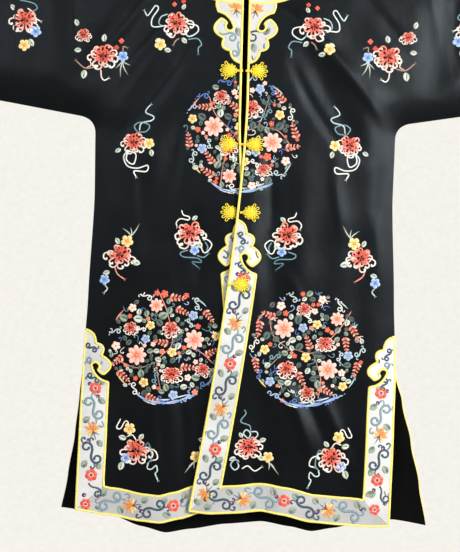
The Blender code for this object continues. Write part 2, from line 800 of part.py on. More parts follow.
def build_back(shared):
    def edge(side, top, low):
        return [(side * half_width(d, side, BACK_SIDE), -d - DROP_TO_S) for d in split(top, low)]

    hem_left = read_table(BACK_HEM, half_width(1.19, 1, BACK_SIDE), 1)
    hem_right = read_table(BACK_HEM, -half_width(1.17, -1, BACK_SIDE), 1)
    left_x = half_width(hem_left, 1, BACK_SIDE)
    right_x = -half_width(hem_right, -1, BACK_SIDE)
    hem = [(x, -read_table(BACK_HEM, x, 1) - DROP_TO_S) for x in split(left_x, right_x)]
    hem.append((right_x, -hem_right - DROP_TO_S))
    slit_left = edge(1, SLIT_TOP, hem_left)
    slit_right = edge(-1, SLIT_TOP, hem_right)
    trimmed = slit_left + hem + slit_right[::-1]

    def sleeve(side):
        low = sleeve_drop(SLEEVE_JOIN_X)
        line = stepped([(SLEEVE_JOIN_X, 0.0), (SLEEVE_JOIN_X, low), (UNDERARM_X, SLEEVE_DROP_IN)])
        line = [(x, -s if s == 0.0 else -s - DROP_TO_S) for x, s in line + underarm(side)]
        return [(side * x, s) for x, s in line]

    left = sleeve(1) + edge(1, SIDE[0][0], SLIT_TOP)[1:]
    right = sleeve(-1) + edge(-1, SIDE[0][0], SLIT_TOP)[1:]
    ridge = [(x, 0.0) for x in ridge_stations()]
    neck = back_neck_curve(0.0)
    outline = left + trimmed + right[::-1]
    outline += [(-x, 0.0) for x, _ in ridge[::-1]][:-1] + neck[::-1][:-1] + ridge[:]
    edge_in = inset(trimmed, PIPING_WIDTH * -1.0)
    neck_in = back_neck_curve(PIPING_WIDTH)
    collar_out = back_collar_curve(0.0)
    collar_in = back_collar_curve(PIPING_WIDTH)
    lines = [edge_in, neck_in, collar_out, collar_in]
    for side in (1, -1):
        lines += rod_lines(side * 0.060, side * (SLEEVE_JOIN_X + 0.004), -1.0)
    cells = triangulate(outline, lines)
    wall("back", cells, -WALL, 0.0, "satin")
    pieces = {}
    for corners in cells:
        point = middle(corners)
        name = None
        if inside(point, trimmed + edge_in[::-1]):
            name = "back_piping"
        elif inside(point, neck_in):
            name = "neck_piping"
        elif inside(point, collar_out):
            name = "collar" if inside(point, collar_in) else "collar_piping"
        pieces.setdefault(name, []).append(corners)
    wall("back_piping", pieces["back_piping"], TRIM_LIFT, PIPING_TOP, "yellow")
    for name in ("neck_piping", "collar", "collar_piping"):
        shared.setdefault(name, []).extend(pieces[name])


# Sleeves, toggles and hanger

def build_sleeve(side, label):
    """The sleeve's outer length, cut in one piece and sewn along its under side."""
    low_in = sleeve_drop(SLEEVE_JOIN_X) + DROP_TO_S
    low_out = sleeve_drop(CUFF_X) + DROP_TO_S
    corners = [
        (side * SLEEVE_JOIN_X, low_in),
        (side * SLEEVE_JOIN_X, 0.0),
        (side * SLEEVE_JOIN_X, -low_in),
        (side * CUFF_X, -low_out),
        (side * CUFF_X, 0.0),
        (side * CUFF_X, low_out),
    ]
    outline = stepped(corners + corners[:1])[:-1]
    cuff_x = side * (CUFF_X - PIPING_WIDTH)
    lines = [stepped([(side * SLEEVE_JOIN_X, 0.0), (side * CUFF_X, 0.0)], 0.055)]
    lines.append(stepped([(cuff_x, -low_out - 0.004), (cuff_x, low_out + 0.004)]))
    for facing in (1.0, -1.0):
        lines += rod_lines(side * (SLEEVE_JOIN_X - 0.004), side * (CUFF_X + 0.004), facing)
    cells = triangulate(outline, lines)
    wall("sleeve_" + label, cells, -WALL, 0.0, "satin")
    trim = [c for c in cells if abs(middle(c)[0]) > CUFF_X - PIPING_WIDTH]
    wall("cuff_piping_" + label, trim, TRIM_LIFT, PIPING_TOP, "yellow")


def frog_outline(reach, knot):
    """A rosette of looped cord with a strap that runs reach to its end; r points away from it."""
    points = []
    steps = 4 * FROG_PETALS
    for i in range(steps + 1):
        a = (-0.32 + 0.64 * i / steps) * pi
        loop = 0.5 - 0.5 * cos(2.0 * pi * FROG_PETALS * i / steps)
        size = FROG_NOTCH + (FROG_LOOP - FROG_NOTCH) * loop
        points.append((size * cos(a), size * sin(a)))
    for turn in (0.44, 0.58, 0.72, 0.86):
        points.append((FROG_RADIUS * cos(turn * pi), FROG_RADIUS * sin(turn * pi)))
    if reach > FROG_RADIUS + 0.002:
        points.append((-FROG_RADIUS * 0.96, STRAP_HALF))
        if knot:
            for i in range(6):
                a = (0.22 + 1.56 * i / 5) * pi
                points.append((-reach + knot + knot * cos(a), knot * sin(a)))
        else:
            points += [(-reach, STRAP_HALF), (-reach, -STRAP_HALF)]
        points.append((-FROG_RADIUS * 0.96, -STRAP_HALF))
    for turn in (0.86, 0.72, 0.58, 0.44):
        points.append((FROG_RADIUS * cos(turn * pi), -FROG_RADIUS * sin(turn * pi)))
    return points


def height_at(x, drop, side):
    """Height of a front's cloth and trim near its opening, or 0 beyond its edge."""
    inward = side * (x - front_edge_x(drop, side))
    if inward < -0.0005:
        return 0.0
    trim = BORDER_TOP if drop > FRONT_HEAD_TIP + 0.05 else 0.0
    if inward < PIPING_WIDTH + 0.0005:
        trim = PIPING_TOP
    return stand_off(x, drop + DROP_TO_S, True, side > 0) + trim


def build_frog(name, x, drop, side, reach, knot, over):
    """A flat toggle laid on the highest cloth and trim under it."""
    outline = [(x + side * r, drop + DROP_TO_S + q) for r, q in frog_outline(reach, knot)]
    seat = 0.0
    for a, b in zip(outline, outline[1:] + outline[:1]):
        for i in range(6):
            px, s = a[0] + (b[0] - a[0]) * i / 6.0, a[1] + (b[1] - a[1]) * i / 6.0
            for front in (1, -1) if over else (-1,):
                seat = max(seat, height_at(px, s - DROP_TO_S, front))
    seat += 2.5 * TRIM_LIFT
    back = []
    front = []
    for px, s in outline:
        z = ROD_Z - (s - QUARTER)
        back.append((px, -seat, z))
        front.append((px, -seat - FROG_HEIGHT, z))
    count = len(outline)
    faces = [tuple(range(count)), tuple(range(2 * count - 1, count - 1, -1))]
    faces += [(i, (i + 1) % count, (i + 1) % count + count, i + count) for i in range(count)]
    return finish(name, back + front, faces, "yellow", 0.9)


def build_frogs():
    for label, drop, right_x, right_end, left_x, left_end in FROGS:
        build_frog(f"frog_{label}_left", left_x, drop, 1, left_x - left_end, KNOT_RADIUS, True)
        build_frog(f"frog_{label}_right", right_x, drop, -1, right_end - right_x, 0.0, False)


def build_rod():
    bpy.ops.mesh.primitive_cylinder_add(vertices=24, radius=ROD_RADIUS, depth=ROD_LENGTH)
    rod = bpy.context.object
    rod.name = "hanger_rod"
    rod.rotation_euler = (0.0, pi / 2.0, 0.0)
    rod.location = (0.0, 0.0, ROD_Z)
    rod.data.shade_smooth()
    rod.data.set_sharp_from_angle(angle=0.7)
    rod.data.materials.append(material("hanger_rod", "wood"))


def build_hook():
    """A wire hook whose bow's inner crest is the origin."""
    ring = HOOK_RADIUS + WIRE_RADIUS
    foot = ROD_Z + ROD_RADIUS + SEAM
    route = [(0.0, foot), (0.0, foot + 0.012), (0.0, -0.058), (0.004, -0.047), (0.014, -0.038)]
    for i in range(11):
        a = (-38.0 + 24.0 * i) * pi / 180.0
        route.append((ring * cos(a), ring * sin(a) - HOOK_RADIUS))
    curve = bpy.data.curves.new("hanger_hook", "CURVE")
    curve.dimensions = "3D"
    curve.bevel_depth = WIRE_RADIUS
    curve.bevel_resolution = 2
    curve.use_fill_caps = True
    spline = curve.splines.new("POLY")
    spline.points.add(len(route) - 1)
    for point, (x, z) in zip(spline.points, route):
        point.co = (x, 0.0, z, 1.0)
    curve.materials.append(material("hanger_hook", "steel"))
    hook = bpy.data.objects.new("hanger_hook", curve)
    bpy.context.scene.collection.objects.link(hook)


def main():
    clear_scene()
    shared = {}
    build_front(1, "left", shared)
    build_front(-1, "right", shared)
    build_back(shared)
    wall("collar", shared["collar"], TRIM_LIFT, BORDER_TOP, "white")
    wall("collar_piping", shared["collar_piping"], TRIM_LIFT, PIPING_TOP, "yellow")
    wall("neck_piping", shared["neck_piping"], TRIM_LIFT, PIPING_TOP, "yellow")
    build_sleeve(1, "left")
    build_sleeve(-1, "right")
    build_frogs()
    build_rod()
    build_hook()


main()
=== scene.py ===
"""The looks of the embroidered coat on its rod hanger, built round its solids.

Metres, +Z up, in the solids' frame. Each piece of cloth is laid out flat as a pattern: x across and s
along the cloth, down from the ridge of the rod, positive in front and negative behind. drape() bends
the pattern over the rod and lets it fall. Trim and stitching are laid on the same pattern.
"""

from math import acos, atan, ceil, cos, hypot, pi, radians, sin

import bpy
import numpy as np
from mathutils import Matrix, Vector
from mathutils.geometry import delaunay_2d_cdt
from mathutils.kdtree import KDTree


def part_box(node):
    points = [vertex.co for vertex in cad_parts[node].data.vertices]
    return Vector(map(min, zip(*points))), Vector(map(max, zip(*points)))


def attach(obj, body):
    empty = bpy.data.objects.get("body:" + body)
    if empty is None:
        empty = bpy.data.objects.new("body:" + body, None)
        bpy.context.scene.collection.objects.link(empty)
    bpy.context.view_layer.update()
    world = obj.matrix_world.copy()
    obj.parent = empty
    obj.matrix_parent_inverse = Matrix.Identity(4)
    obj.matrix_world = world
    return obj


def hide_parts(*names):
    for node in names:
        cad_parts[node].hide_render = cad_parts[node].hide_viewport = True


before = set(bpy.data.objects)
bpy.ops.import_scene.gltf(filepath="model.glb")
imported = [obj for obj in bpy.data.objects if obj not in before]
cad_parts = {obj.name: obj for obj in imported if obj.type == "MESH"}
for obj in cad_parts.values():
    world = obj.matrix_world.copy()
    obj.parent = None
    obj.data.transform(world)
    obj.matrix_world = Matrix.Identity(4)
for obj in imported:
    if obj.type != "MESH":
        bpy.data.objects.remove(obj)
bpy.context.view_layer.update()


def metres(*rows):
    """A table of measures that are written in millimetres."""
    return np.array(rows) / 1000.0


# Cloth and trim
WALL = 0.0016
SEAM = 0.0003
BORDER_TOP = 0.0012
PIPING_HALF = 0.0022
PIPING_WIDTH = 0.0044
BAND_WIDTH = 0.0560
CORD_RADIUS = 0.0009
JOIN_MARGIN = 0.0015

# Hanger and cut, as in the solids
ROD_Z = -0.0900
RIDGE_RADIUS = 0.0124
SLEEVE_JOIN_X = 0.4650
CUFF_X = 0.6800
SLEEVE_DROP_IN = 0.3880
SLEEVE_DROP_SLOPE = -0.1650
UNDERARM_X = 0.3300
SLIT_TOP = 0.8940
NECK_HALF = 0.0750
NECK_FRONT = 0.0900
NECK_BACK = 0.0200
COLLAR_HALF = 0.1440
COLLAR_FRONT = 0.1580
COLLAR_BACK = 0.0900
COLLAR_POWER = 3.0
LAPPET_TIP = 0.2780
FRONT_HEAD_TIP = 0.5880
SLIT_HEAD_TIP = 0.8150
QUARTER = RIDGE_RADIUS * pi / 2.0
DROP_TO_S = QUARTER - RIDGE_RADIUS

# How the coat hangs
RIDGE_BLEND = 0.1000
EDGE_RUN = 0.0750
SLIT_PART = 0.0060
SLIT_RUN = 0.1400
LAP_DEPTH = 0.0092
LAP_START = 0.4300
LAP_FULL = 0.5400
LAP_FADE = 0.0900
LAP_COVER = 0.0120

# Mesh spacing
CLOTH_STEP = 0.0062
ROW_RATIO = 0.866

# The stitching: the height of one layer of thread, the steps along small and longer strokes
LAYER = 0.0001
FINE_STEP = 0.0016
STROKE_STEP = 0.0020
MM = 0.001
LINE_STEP = 0.0060
ROUTE_STEP = 0.0040
CORD_STEP = 0.0013
PIPING_STEP = 0.0026

# The wearer's two sides
SIDES = ((1, "left"), (-1, "right"))

# The photo's grid: metres a pixel, its tilt, the coat's middle, and rows from the ridge to its top
PIXEL = 0.002
PHOTO_TILT = 0.025
PHOTO_MIDDLE = 248.0
PHOTO_TOP = 75.0
PHOTO_SIZE = (460.0, 552.0)

# The camera: distance from the fronts, how far they stand before the middle plane, film width in mm
CAMERA_AWAY = 2.2
FRONT_PLANE = 0.014
FILM = 36.0

# Side seam and front slit edge: drop, half width on the wearer's right, on the wearer's left
SIDE = metres(
    (424, 300, 303), (550, 298.5, 301), (750, 306.5, 309), (894, 314, 316), (1000, 316, 313),
    (1200, 320.5, 308.5),
)

# Back slit edge, the same columns
BACK_SIDE = metres(
    (424, 300, 303), (550, 298.5, 301), (750, 306.5, 309), (894, 314, 316), (950, 320, 331),
    (1030, 328, 351), (1110, 340, 369), (1210, 357, 387),
)

# Hems: x, drop
FRONT_RIGHT_HEM = metres(
    (-330, 1176), (-251, 1186), (-190, 1196), (-150, 1199), (-110, 1190), (-60, 1174), (10, 1166),
    (90, 1162),
)
FRONT_LEFT_HEM = metres(
    (-100, 1173), (-54, 1177), (0, 1174), (50, 1169), (90, 1175), (150, 1189), (210, 1194),
    (270, 1197), (320, 1194),
)
BACK_HEM = metres(
    (-370, 1177), (-250, 1193), (-190, 1214), (-140, 1226), (-90, 1217), (-20, 1205), (54, 1198),
    (110, 1207), (155, 1216), (200, 1208), (260, 1193), (320, 1188), (400, 1197),
)

# Front edges: drop where the edge starts to swing, x above it, swing at the hem, power
LEFT_EDGE = {"start": 0.350, "x": 0.0020, "swing": -0.0920, "power": 1.5}
RIGHT_EDGE = {"start": 0.400, "x": -0.0085, "swing": 0.0850, "power": 1.3}
EDGE_SPAN = 0.8000

# How far the cloth stands off the middle plane: drop, front, back
STAND_OFF = metres(
    (50, 12.5, 12.5), (300, 13.5, 12.5), (600, 14, 13), (900, 15, 13.5), (1220, 17.5, 15),
)

# Folds: x and drop at each end, half width, height out of the cloth, bow of the line.
# The broad ones are the solids' own, and the narrow creases follow them.
FRONT_FOLDS = metres(
    (-200, 140, -350, 330, 24, -4.5, 0), (-130, 180, -290, 430, 26, 4.5, 0),
    (-90, 300, -170, 600, 30, -4, 0), (-215, 480, -220, 900, 34, 4, 0),
    (-150, 640, -150, 1230, 36, 6, 0), (-225, 800, -235, 1230, 32, -5, 0),
    (-85, 760, -80, 1230, 28, -4, 0), (70, 150, 290, 370, 26, 5, 0), (110, 230, 250, 480, 26, -4.5, 0),
    (45, 480, 65, 860, 26, -4.5, 0), (115, 420, 120, 860, 32, 4.5, 0), (230, 470, 245, 900, 32, -4, 0),
    (55, 900, 50, 1230, 32, -6, 0), (130, 820, 150, 1230, 34, 5.5, 0),
    (215, 860, 220, 1230, 30, -4, 0), (400, 60, 375, 340, 30, -4, 0), (-400, 50, -385, 330, 30, 4, 0),
    (560, 60, 540, 330, 34, 4, 0), (-560, 70, -555, 330, 34, -4, 0), (55, 155, 275, 350, 11, 2.7, 10),
    (105, 180, 250, 330, 10, -2.6, 8), (85, 260, 215, 465, 11, -2.6, -10),
    (160, 250, 285, 400, 10, 2.1, 6), (190, 110, 330, 260, 12, -2.1, 12),
    (40, 430, 60, 610, 11, -2.2, 6), (185, 450, 210, 640, 12, 1.9, -8),
    (270, 430, 262, 600, 10, -1.9, 4), (90, 690, 140, 830, 11, 2.1, 8),
    (82, 890, 156, 1090, 12, 4.8, 6), (108, 890, 190, 1080, 11, -4.2, 6),
    (150, 900, 235, 1110, 12, 4.2, 6), (20, 1000, 35, 1150, 10, -2.1, 3),
    (262, 560, 280, 760, 12, 1.9, 6), (350, 80, 385, 250, 12, 1.9, 8),
    (430, 60, 420, 300, 14, -2.2, -6), (520, 70, 500, 290, 13, 1.9, 6),
    (620, 70, 610, 300, 13, -1.9, 4), (-160, 110, -310, 300, 11, -2.4, -10),
    (-120, 160, -275, 350, 11, 2.6, -8), (-110, 240, -255, 430, 10, -2.4, 10),
    (-80, 330, -130, 560, 11, 1.9, -6), (-215, 420, -205, 610, 12, -2.1, 6),
    (-262, 480, -258, 700, 11, 1.9, -4), (-95, 560, -90, 720, 11, -2.2, 6),
    (-175, 900, -150, 1130, 12, 4.2, -6), (-120, 900, -105, 1120, 11, -3.6, 4),
    (-205, 1000, -200, 1140, 10, 1.9, 4), (-360, 70, -345, 290, 12, -2.1, 8),
    (-440, 60, -430, 310, 14, 2.2, -6), (-510, 60, -500, 280, 13, -1.9, 6),
    (-610, 60, -600, 300, 13, 1.9, -4),
)
BACK_FOLDS = metres(
    (-90, 160, -290, 400, 28, 4.5, 0), (100, 150, 290, 410, 28, 4.5, 0), (0, 260, 10, 800, 40, -4, 0),
    (-150, 520, -160, 1230, 36, 5.5, 0), (-60, 700, -40, 1230, 34, -4.5, 0),
    (60, 640, 80, 1230, 34, 5, 0), (170, 560, 190, 1230, 36, -4.5, 0), (280, 860, 300, 1230, 30, 5, 0),
    (-260, 800, -280, 1230, 30, -4.5, 0), (470, 60, 450, 330, 36, -4, 0),
    (-480, 60, -450, 330, 36, 4, 0), (-80, 130, -270, 350, 12, 2.9, -10),
    (-130, 190, -300, 370, 11, -2.7, -8), (-60, 230, -230, 470, 12, -2.6, 12),
    (-200, 120, -340, 270, 13, 2.1, -8), (70, 125, 265, 345, 12, 2.9, 10),
    (125, 185, 305, 380, 11, -2.6, 8), (60, 240, 240, 480, 12, -2.7, -12),
    (210, 110, 345, 280, 13, 2.2, 8), (-110, 480, -120, 700, 12, 2.2, 6),
    (110, 500, 125, 740, 12, -2.2, -6), (-230, 460, -225, 720, 13, -2.2, 6),
    (235, 450, 240, 690, 12, 2.2, -6), (-190, 820, -205, 1100, 12, 2.7, 6),
    (-100, 860, -95, 1160, 13, -2.6, -4), (10, 900, 20, 1150, 12, 2.4, 6),
    (130, 880, 145, 1170, 12, -2.7, 6), (230, 930, 255, 1150, 12, 2.6, 4),
    (380, 60, 370, 300, 14, -2.2, 8), (-390, 70, -375, 310, 14, 2.2, -8),
    (560, 60, 545, 300, 15, 2.2, 6), (-570, 60, -560, 310, 15, -2.2, 6),
)

# Faint waves of the cloth: per metre across, per metre down, phase, height
RIPPLES = (
    (31.0, 17.0, 0.4, 0.00042), (-23.0, 29.0, 1.9, 0.00038), (57.0, -21.0, 3.1, 0.00022),
    (13.0, 61.0, 0.8, 0.0002), (83.0, 47.0, 2.2, 0.0001),
)

# A cloud head, from its tip on the trimmed edge to its shoulder on the band's inner side:
# distance in from the edge, distance along it, bulge of the arc that leads there, segments
CLOUD_HEAD = (
    (0.026, 0.025, 0.2, 9), (0.04, 0.05, 0.33, 9), (0.045, 0.092, 0.4, 16), (0.031, 0.083, 0.1, 6),
)
HOOK_EYE = {"r": 0.0265, "q": 0.0745, "radius": 0.0068, "first": 65.0, "last": -160.0, "segments": 14}
CLOUD_SHOULDER = (BAND_WIDTH, 0.1030, -0.17, 10)

# Toggle fastenings: node, x of the rosette, drop, side, x of the strap's end
FROGS = (
    ("frog_1_right", -0.032, 0.292, -1, -0.0068), ("frog_1_left", 0.0226, 0.292, 1, -0.002),
    ("frog_2_right", -0.0298, 0.439, -1, -0.0127), ("frog_2_left", 0.019, 0.439, 1, -0.011),
    ("frog_3_right", -0.0236, 0.5755, -1, -0.013), ("frog_3_left", 0.0146, 0.5755, 1, -0.007),
    ("frog_4_right", -0.0054, 0.719, -1, 0.013), ("frog_4_left", -0.002, 0.719, 1, -0.0262),
)

# Thread and cloth colours, as display values from 0 to 255
TONES = {
    "deep": (220, 78, 56), "coral": (232, 100, 76), "rose": (240, 146, 124), "blush": (246, 196, 182),
    "white": (240, 236, 228), "ice": (196, 214, 216), "teal": (108, 150, 160),
    "lagoon": (66, 104, 118), "sage": (146, 162, 142), "mist": (206, 214, 200), "olive": (70, 90, 82),
    "blue": (82, 120, 190), "sky": (168, 196, 232), "gold": (214, 160, 72), "straw": (246, 220, 152),
    "taupe": (168, 130, 112), "orange": (214, 122, 52), "amber": (232, 168, 92), "red": (214, 70, 52),
    "salmon": (240, 150, 130), "slate": (40, 70, 90), "steel": (118, 146, 158), "ink": (38, 46, 54),
    "plum": (60, 48, 104), "maroon": (92, 50, 44),
}


def tone(name):
    values = np.array(TONES[name]) / 255.0
    return np.where(values <= 0.04045, values / 12.92, ((values + 0.055) / 1.055) ** 2.4)


def ease(t):
    t = np.clip(t, 0.0, 1.0)
    return t * t * (3.0 - 2.0 * t)


def read_table(rows, at, column):
    """Smoothly read one column of a table whose first column rises."""
    marks = np.array([row[0] for row in rows])
    values = np.array([row[column] for row in rows])
    at = np.clip(at, marks[0], marks[-1])
    i = np.clip(np.searchsorted(marks, at, side="right") - 1, 0, len(marks) - 2)
    share = (at - marks[i]) / (marks[i + 1] - marks[i])
    return values[i] + (values[i + 1] - values[i]) * (0.5 * share + 0.5 * ease(share))


# The outline of the cut

def half_width(drop, side, rows=SIDE):
    return float(read_table(rows, drop, 2 if side > 0 else 1))


def sleeve_drop(x):
    return SLEEVE_DROP_IN + SLEEVE_DROP_SLOPE * (x - UNDERARM_X)


def underarm(side, count=10):
    top = (UNDERARM_X, SLEEVE_DROP_IN)
    low = (half_width(SIDE[0][0], side), SIDE[0][0])
    return arc(top, low, -0.20, count)


def front_edge_x(drop, side):
    edge = LEFT_EDGE if side > 0 else RIGHT_EDGE
    run = np.maximum(drop - edge["start"], 0.0) / EDGE_SPAN
    return edge["x"] + edge["swing"] * run ** edge["power"]


def arc(start, end, bulge, count):
    """Points after start on an arc to end that stands bulge chords out, to the right of the way."""
    (x0, y0), (x1, y1) = start, end
    dx, dy = x1 - x0, y1 - y0
    points = []
    for i in range(1, count + 1):
        t = i / count
        out = 4.0 * bulge * t * (1.0 - t)
        points.append((x0 + dx * t + dy * out, y0 + dy * t - dx * out))
    return points


def cloud_outline():
    """The cloud head in its own plane: r in from the edge, q along it from the tip."""
    points = [(0.0, 0.0)]
    for r, q, bulge, count in CLOUD_HEAD:
        points += arc(points[-1], (r, q), bulge, count)
    eye = HOOK_EYE
    for i in range(eye["segments"] + 1):
        a = radians(eye["first"] + (eye["last"] - eye["first"]) * i / eye["segments"])
        points.append((eye["r"] + eye["radius"] * cos(a), eye["q"] + eye["radius"] * sin(a)))
    r, q, bulge, count = CLOUD_SHOULDER
    return points + arc(points[-1], (r, q), bulge, count)


def inset(points, width):
    """An open line moved to its right by width, with limited mitres."""
    moved = []
    for i, (x, y) in enumerate(points):
        normals = []
        for j in (i - 1, i):
            if 0 <= j < len(points) - 1:
                dx, dy = points[j + 1][0] - points[j][0], points[j + 1][1] - points[j][1]
                size = hypot(dx, dy)
                normals.append((-dy / size, dx / size))
        nx = sum(n[0] for n in normals) / len(normals)
        ny = sum(n[1] for n in normals) / len(normals)
        scale = width / max(nx * nx + ny * ny, 0.25)
        moved.append((x + nx * scale, y + ny * scale))
    return moved


def tidy_inset(points, width):
    """An inset line without the points that its sharp corners throw too near the line itself."""
    a, b = np.array(points[:-1]), np.array(points[1:])
    way = b - a
    kept = []
    for point in inset(points, width):
        here = np.array(point)
        t = np.clip(((here - a) * way).sum(axis=1) / (way * way).sum(axis=1), 0.0, 1.0)
        away = np.sqrt((((a + way * t[:, None]) - here) ** 2).sum(axis=1)).min()
        if away > 0.9 * abs(width):
            kept.append(point)
    return kept


def split(start, end, step=LINE_STEP):
    count = max(ceil(abs(end - start) / step), 1)
    return [start + (end - start) * i / count for i in range(count)]


def stepped(points, step=LINE_STEP):
    """The same line with no stretch longer than step."""
    line = [tuple(points[0])]
    for (x0, y0), (x1, y1) in zip(points, points[1:]):
        count = max(ceil(hypot(x1 - x0, y1 - y0) / step - 0.25), 1)
        for i in range(1, count + 1):
            line.append((x0 + (x1 - x0) * i / count, y0 + (y1 - y0) * i / count))
    return line


def along(path, distance):
    """Place and direction at a distance along a path."""
    for (x0, y0), (x1, y1) in zip(path, path[1:]):
        size = hypot(x1 - x0, y1 - y0)
        if distance <= size or (x1, y1) == tuple(path[-1]):
            t = distance / size
            return (x0 + (x1 - x0) * t, y0 + (y1 - y0) * t), ((x1 - x0) / size, (y1 - y0) / size)
        distance -= size
    return path[-1], (0.0, 1.0)


def on_edge(points, path, turn):
    """Points in r and q laid against a path that starts at the head's tip."""
    placed = []
    for r, q in points:
        (x, y), (dx, dy) = along(path, max(q, 0.0))
        placed.append((x - dy * turn * r, y + dx * turn * r))
    return placed


def inside(x, y, polygon):
    """For each point, whether it is inside the polygon."""
    hit = np.zeros(len(x), bool)
    ring = list(polygon)
    for (x0, y0), (x1, y1) in zip(ring, ring[1:] + ring[:1]):
        if y0 == y1:
            continue
        crosses = ((y0 > y) != (y1 > y)) & (x < x0 + (x1 - x0) * (y - y0) / (y1 - y0))
        hit ^= crosses
    return hit


# The drape

def seam_line():
    """The sewn outline of the wearer's left half, as points in x and drop."""
    line = [(0.75, sleeve_drop(0.75)), (UNDERARM_X, SLEEVE_DROP_IN)]
    line += underarm(1, 6)
    line += [(half_width(d, 1), d) for d in np.linspace(0.46, SLIT_TOP, 8)]
    line += [(half_width(d, 1, BACK_SIDE), d) for d in np.linspace(SLIT_TOP + 0.03, 1.25, 7)]
    return line


SEAM_LINE = seam_line()


def seam_distance(x, drop):
    best = np.full(np.shape(x), 9.0)
    x = np.abs(x)
    for (ax, ay), (bx, by) in zip(SEAM_LINE, SEAM_LINE[1:]):
        wx, wy = bx - ax, by - ay
        t = np.clip(((x - ax) * wx + (drop - ay) * wy) / (wx * wx + wy * wy), 0.0, 1.0)
        best = np.minimum(best, np.hypot(ax + wx * t - x, ay + wy * t - drop))
    return best


def folds_at(x, drop, rows):
    height = np.zeros(np.shape(x))
    for x0, d0, x1, d1, half, rise, bow in rows:
        dx, dy = x1 - x0, d1 - d0
        length = hypot(dx, dy)
        t = np.clip(((x - x0) * dx + (drop - d0) * dy) / (length * length), 0.0, 1.0)
        across = ((x - x0) * dy - (drop - d0) * dx) / length - bow * 4.0 * t * (1.0 - t)
        height += rise * np.exp(-((across / half) ** 2)) * np.sin(pi * t) ** 0.8
    return height


def ripples_at(x, drop):
    height = np.zeros(np.shape(x))
    for across, down, phase, rise in RIPPLES:
        height += rise * np.sin(across * x + down * drop + phase)
    return height


def lap_at(x, drop):
    """How far the wearer's left front stands out to pass over the right one."""
    down = ease((drop - LAP_START) / (LAP_FULL - LAP_START))
    covered = front_edge_x(drop, -1) + LAP_COVER
    return LAP_DEPTH * down * ease((covered + LAP_FADE - x) / LAP_FADE)


def stand_off(x, run, front, over):
    """How far the cloth's outer face stands off the middle plane, with its folds."""
    drop = run - DROP_TO_S
    closed = WALL + SEAM / 2.0
    near = np.minimum(seam_distance(x, drop) / EDGE_RUN, 1.0)
    rise = 1.0 - (1.0 - near) ** 2
    full = np.where(front, read_table(STAND_OFF, drop, 1), read_table(STAND_OFF, drop, 2))
    parted = SLIT_PART * ease((drop - SLIT_TOP) / SLIT_RUN)
    folds = np.where(front, folds_at(x, drop, FRONT_FOLDS), folds_at(x, drop, BACK_FOLDS))
    folds = folds + ripples_at(x, drop)
    hang = closed + parted + (full - closed - 0.5 * parted) * rise + folds * rise
    if over:
        hang = hang + lap_at(x, drop)
    blend = ease((run - QUARTER) / RIDGE_BLEND)
    return RIDGE_RADIUS + (hang - RIDGE_RADIUS) * blend


def outer_face(x, s, over=False):
    """The place of the cloth's outer face: round the rod's ridge, then straight down."""
    run = np.abs(s)
    facing = np.where(s >= 0.0, -1.0, 1.0)
    bend = np.minimum(run / RIDGE_RADIUS, pi / 2.0)
    round_it = run < QUARTER
    y = np.where(round_it, RIDGE_RADIUS * np.sin(bend), stand_off(x, run, s >= 0.0, over))
    z = np.where(round_it, ROD_Z + RIDGE_RADIUS * np.cos(bend), ROD_Z - (run - QUARTER))
    return np.stack((x, facing * y, z), axis=-1)


def drape(x, s, out, over=False):
    """The draped places of pattern points, moved out of the cloth by out."""
    x, s = np.asarray(x, float), np.asarray(s, float)
    step = 0.0015
    way_x = outer_face(x + step, s, over) - outer_face(x - step, s, over)
    way_s = outer_face(x, s + step, over) - outer_face(x, s - step, over)
    normal = np.cross(way_s, way_x)
    normal /= np.linalg.norm(normal, axis=-1, keepdims=True)
    return outer_face(x, s, over) + normal * np.broadcast_to(out, x.shape)[..., None]


# Meshes

def make(name, points, faces, materials, uv, colours=None, slots=None, angle=None):
    mesh = bpy.data.meshes.new(name)
    mesh.from_pydata(np.asarray(points).tolist(), [], [list(f) for f in faces])
    mesh.shade_smooth()
    if angle:
        mesh.set_sharp_from_angle(angle=angle)
    for material in materials:
        mesh.materials.append(material)
    if slots is not None:
        mesh.polygons.foreach_set("material_index", np.asarray(slots, np.int32))
    corner = np.empty(len(mesh.loops), np.int32)
    mesh.loops.foreach_get("vertex_index", corner)
    layer = mesh.uv_layers.new(name="pattern")
    layer.data.foreach_set("uv", np.asarray(uv, np.float32)[corner].ravel())
    if colours is not None:
        layer = mesh.color_attributes.new("tone", "FLOAT_COLOR", "POINT")
        full = np.ones((len(points), 4), np.float32)
        full[:, :3] = colours
        layer.data.foreach_set("color", full.ravel())
    mesh.update()
    obj = bpy.data.objects.new(name, mesh)
    bpy.context.scene.collection.objects.link(obj)
    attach(obj, "root")
    return obj


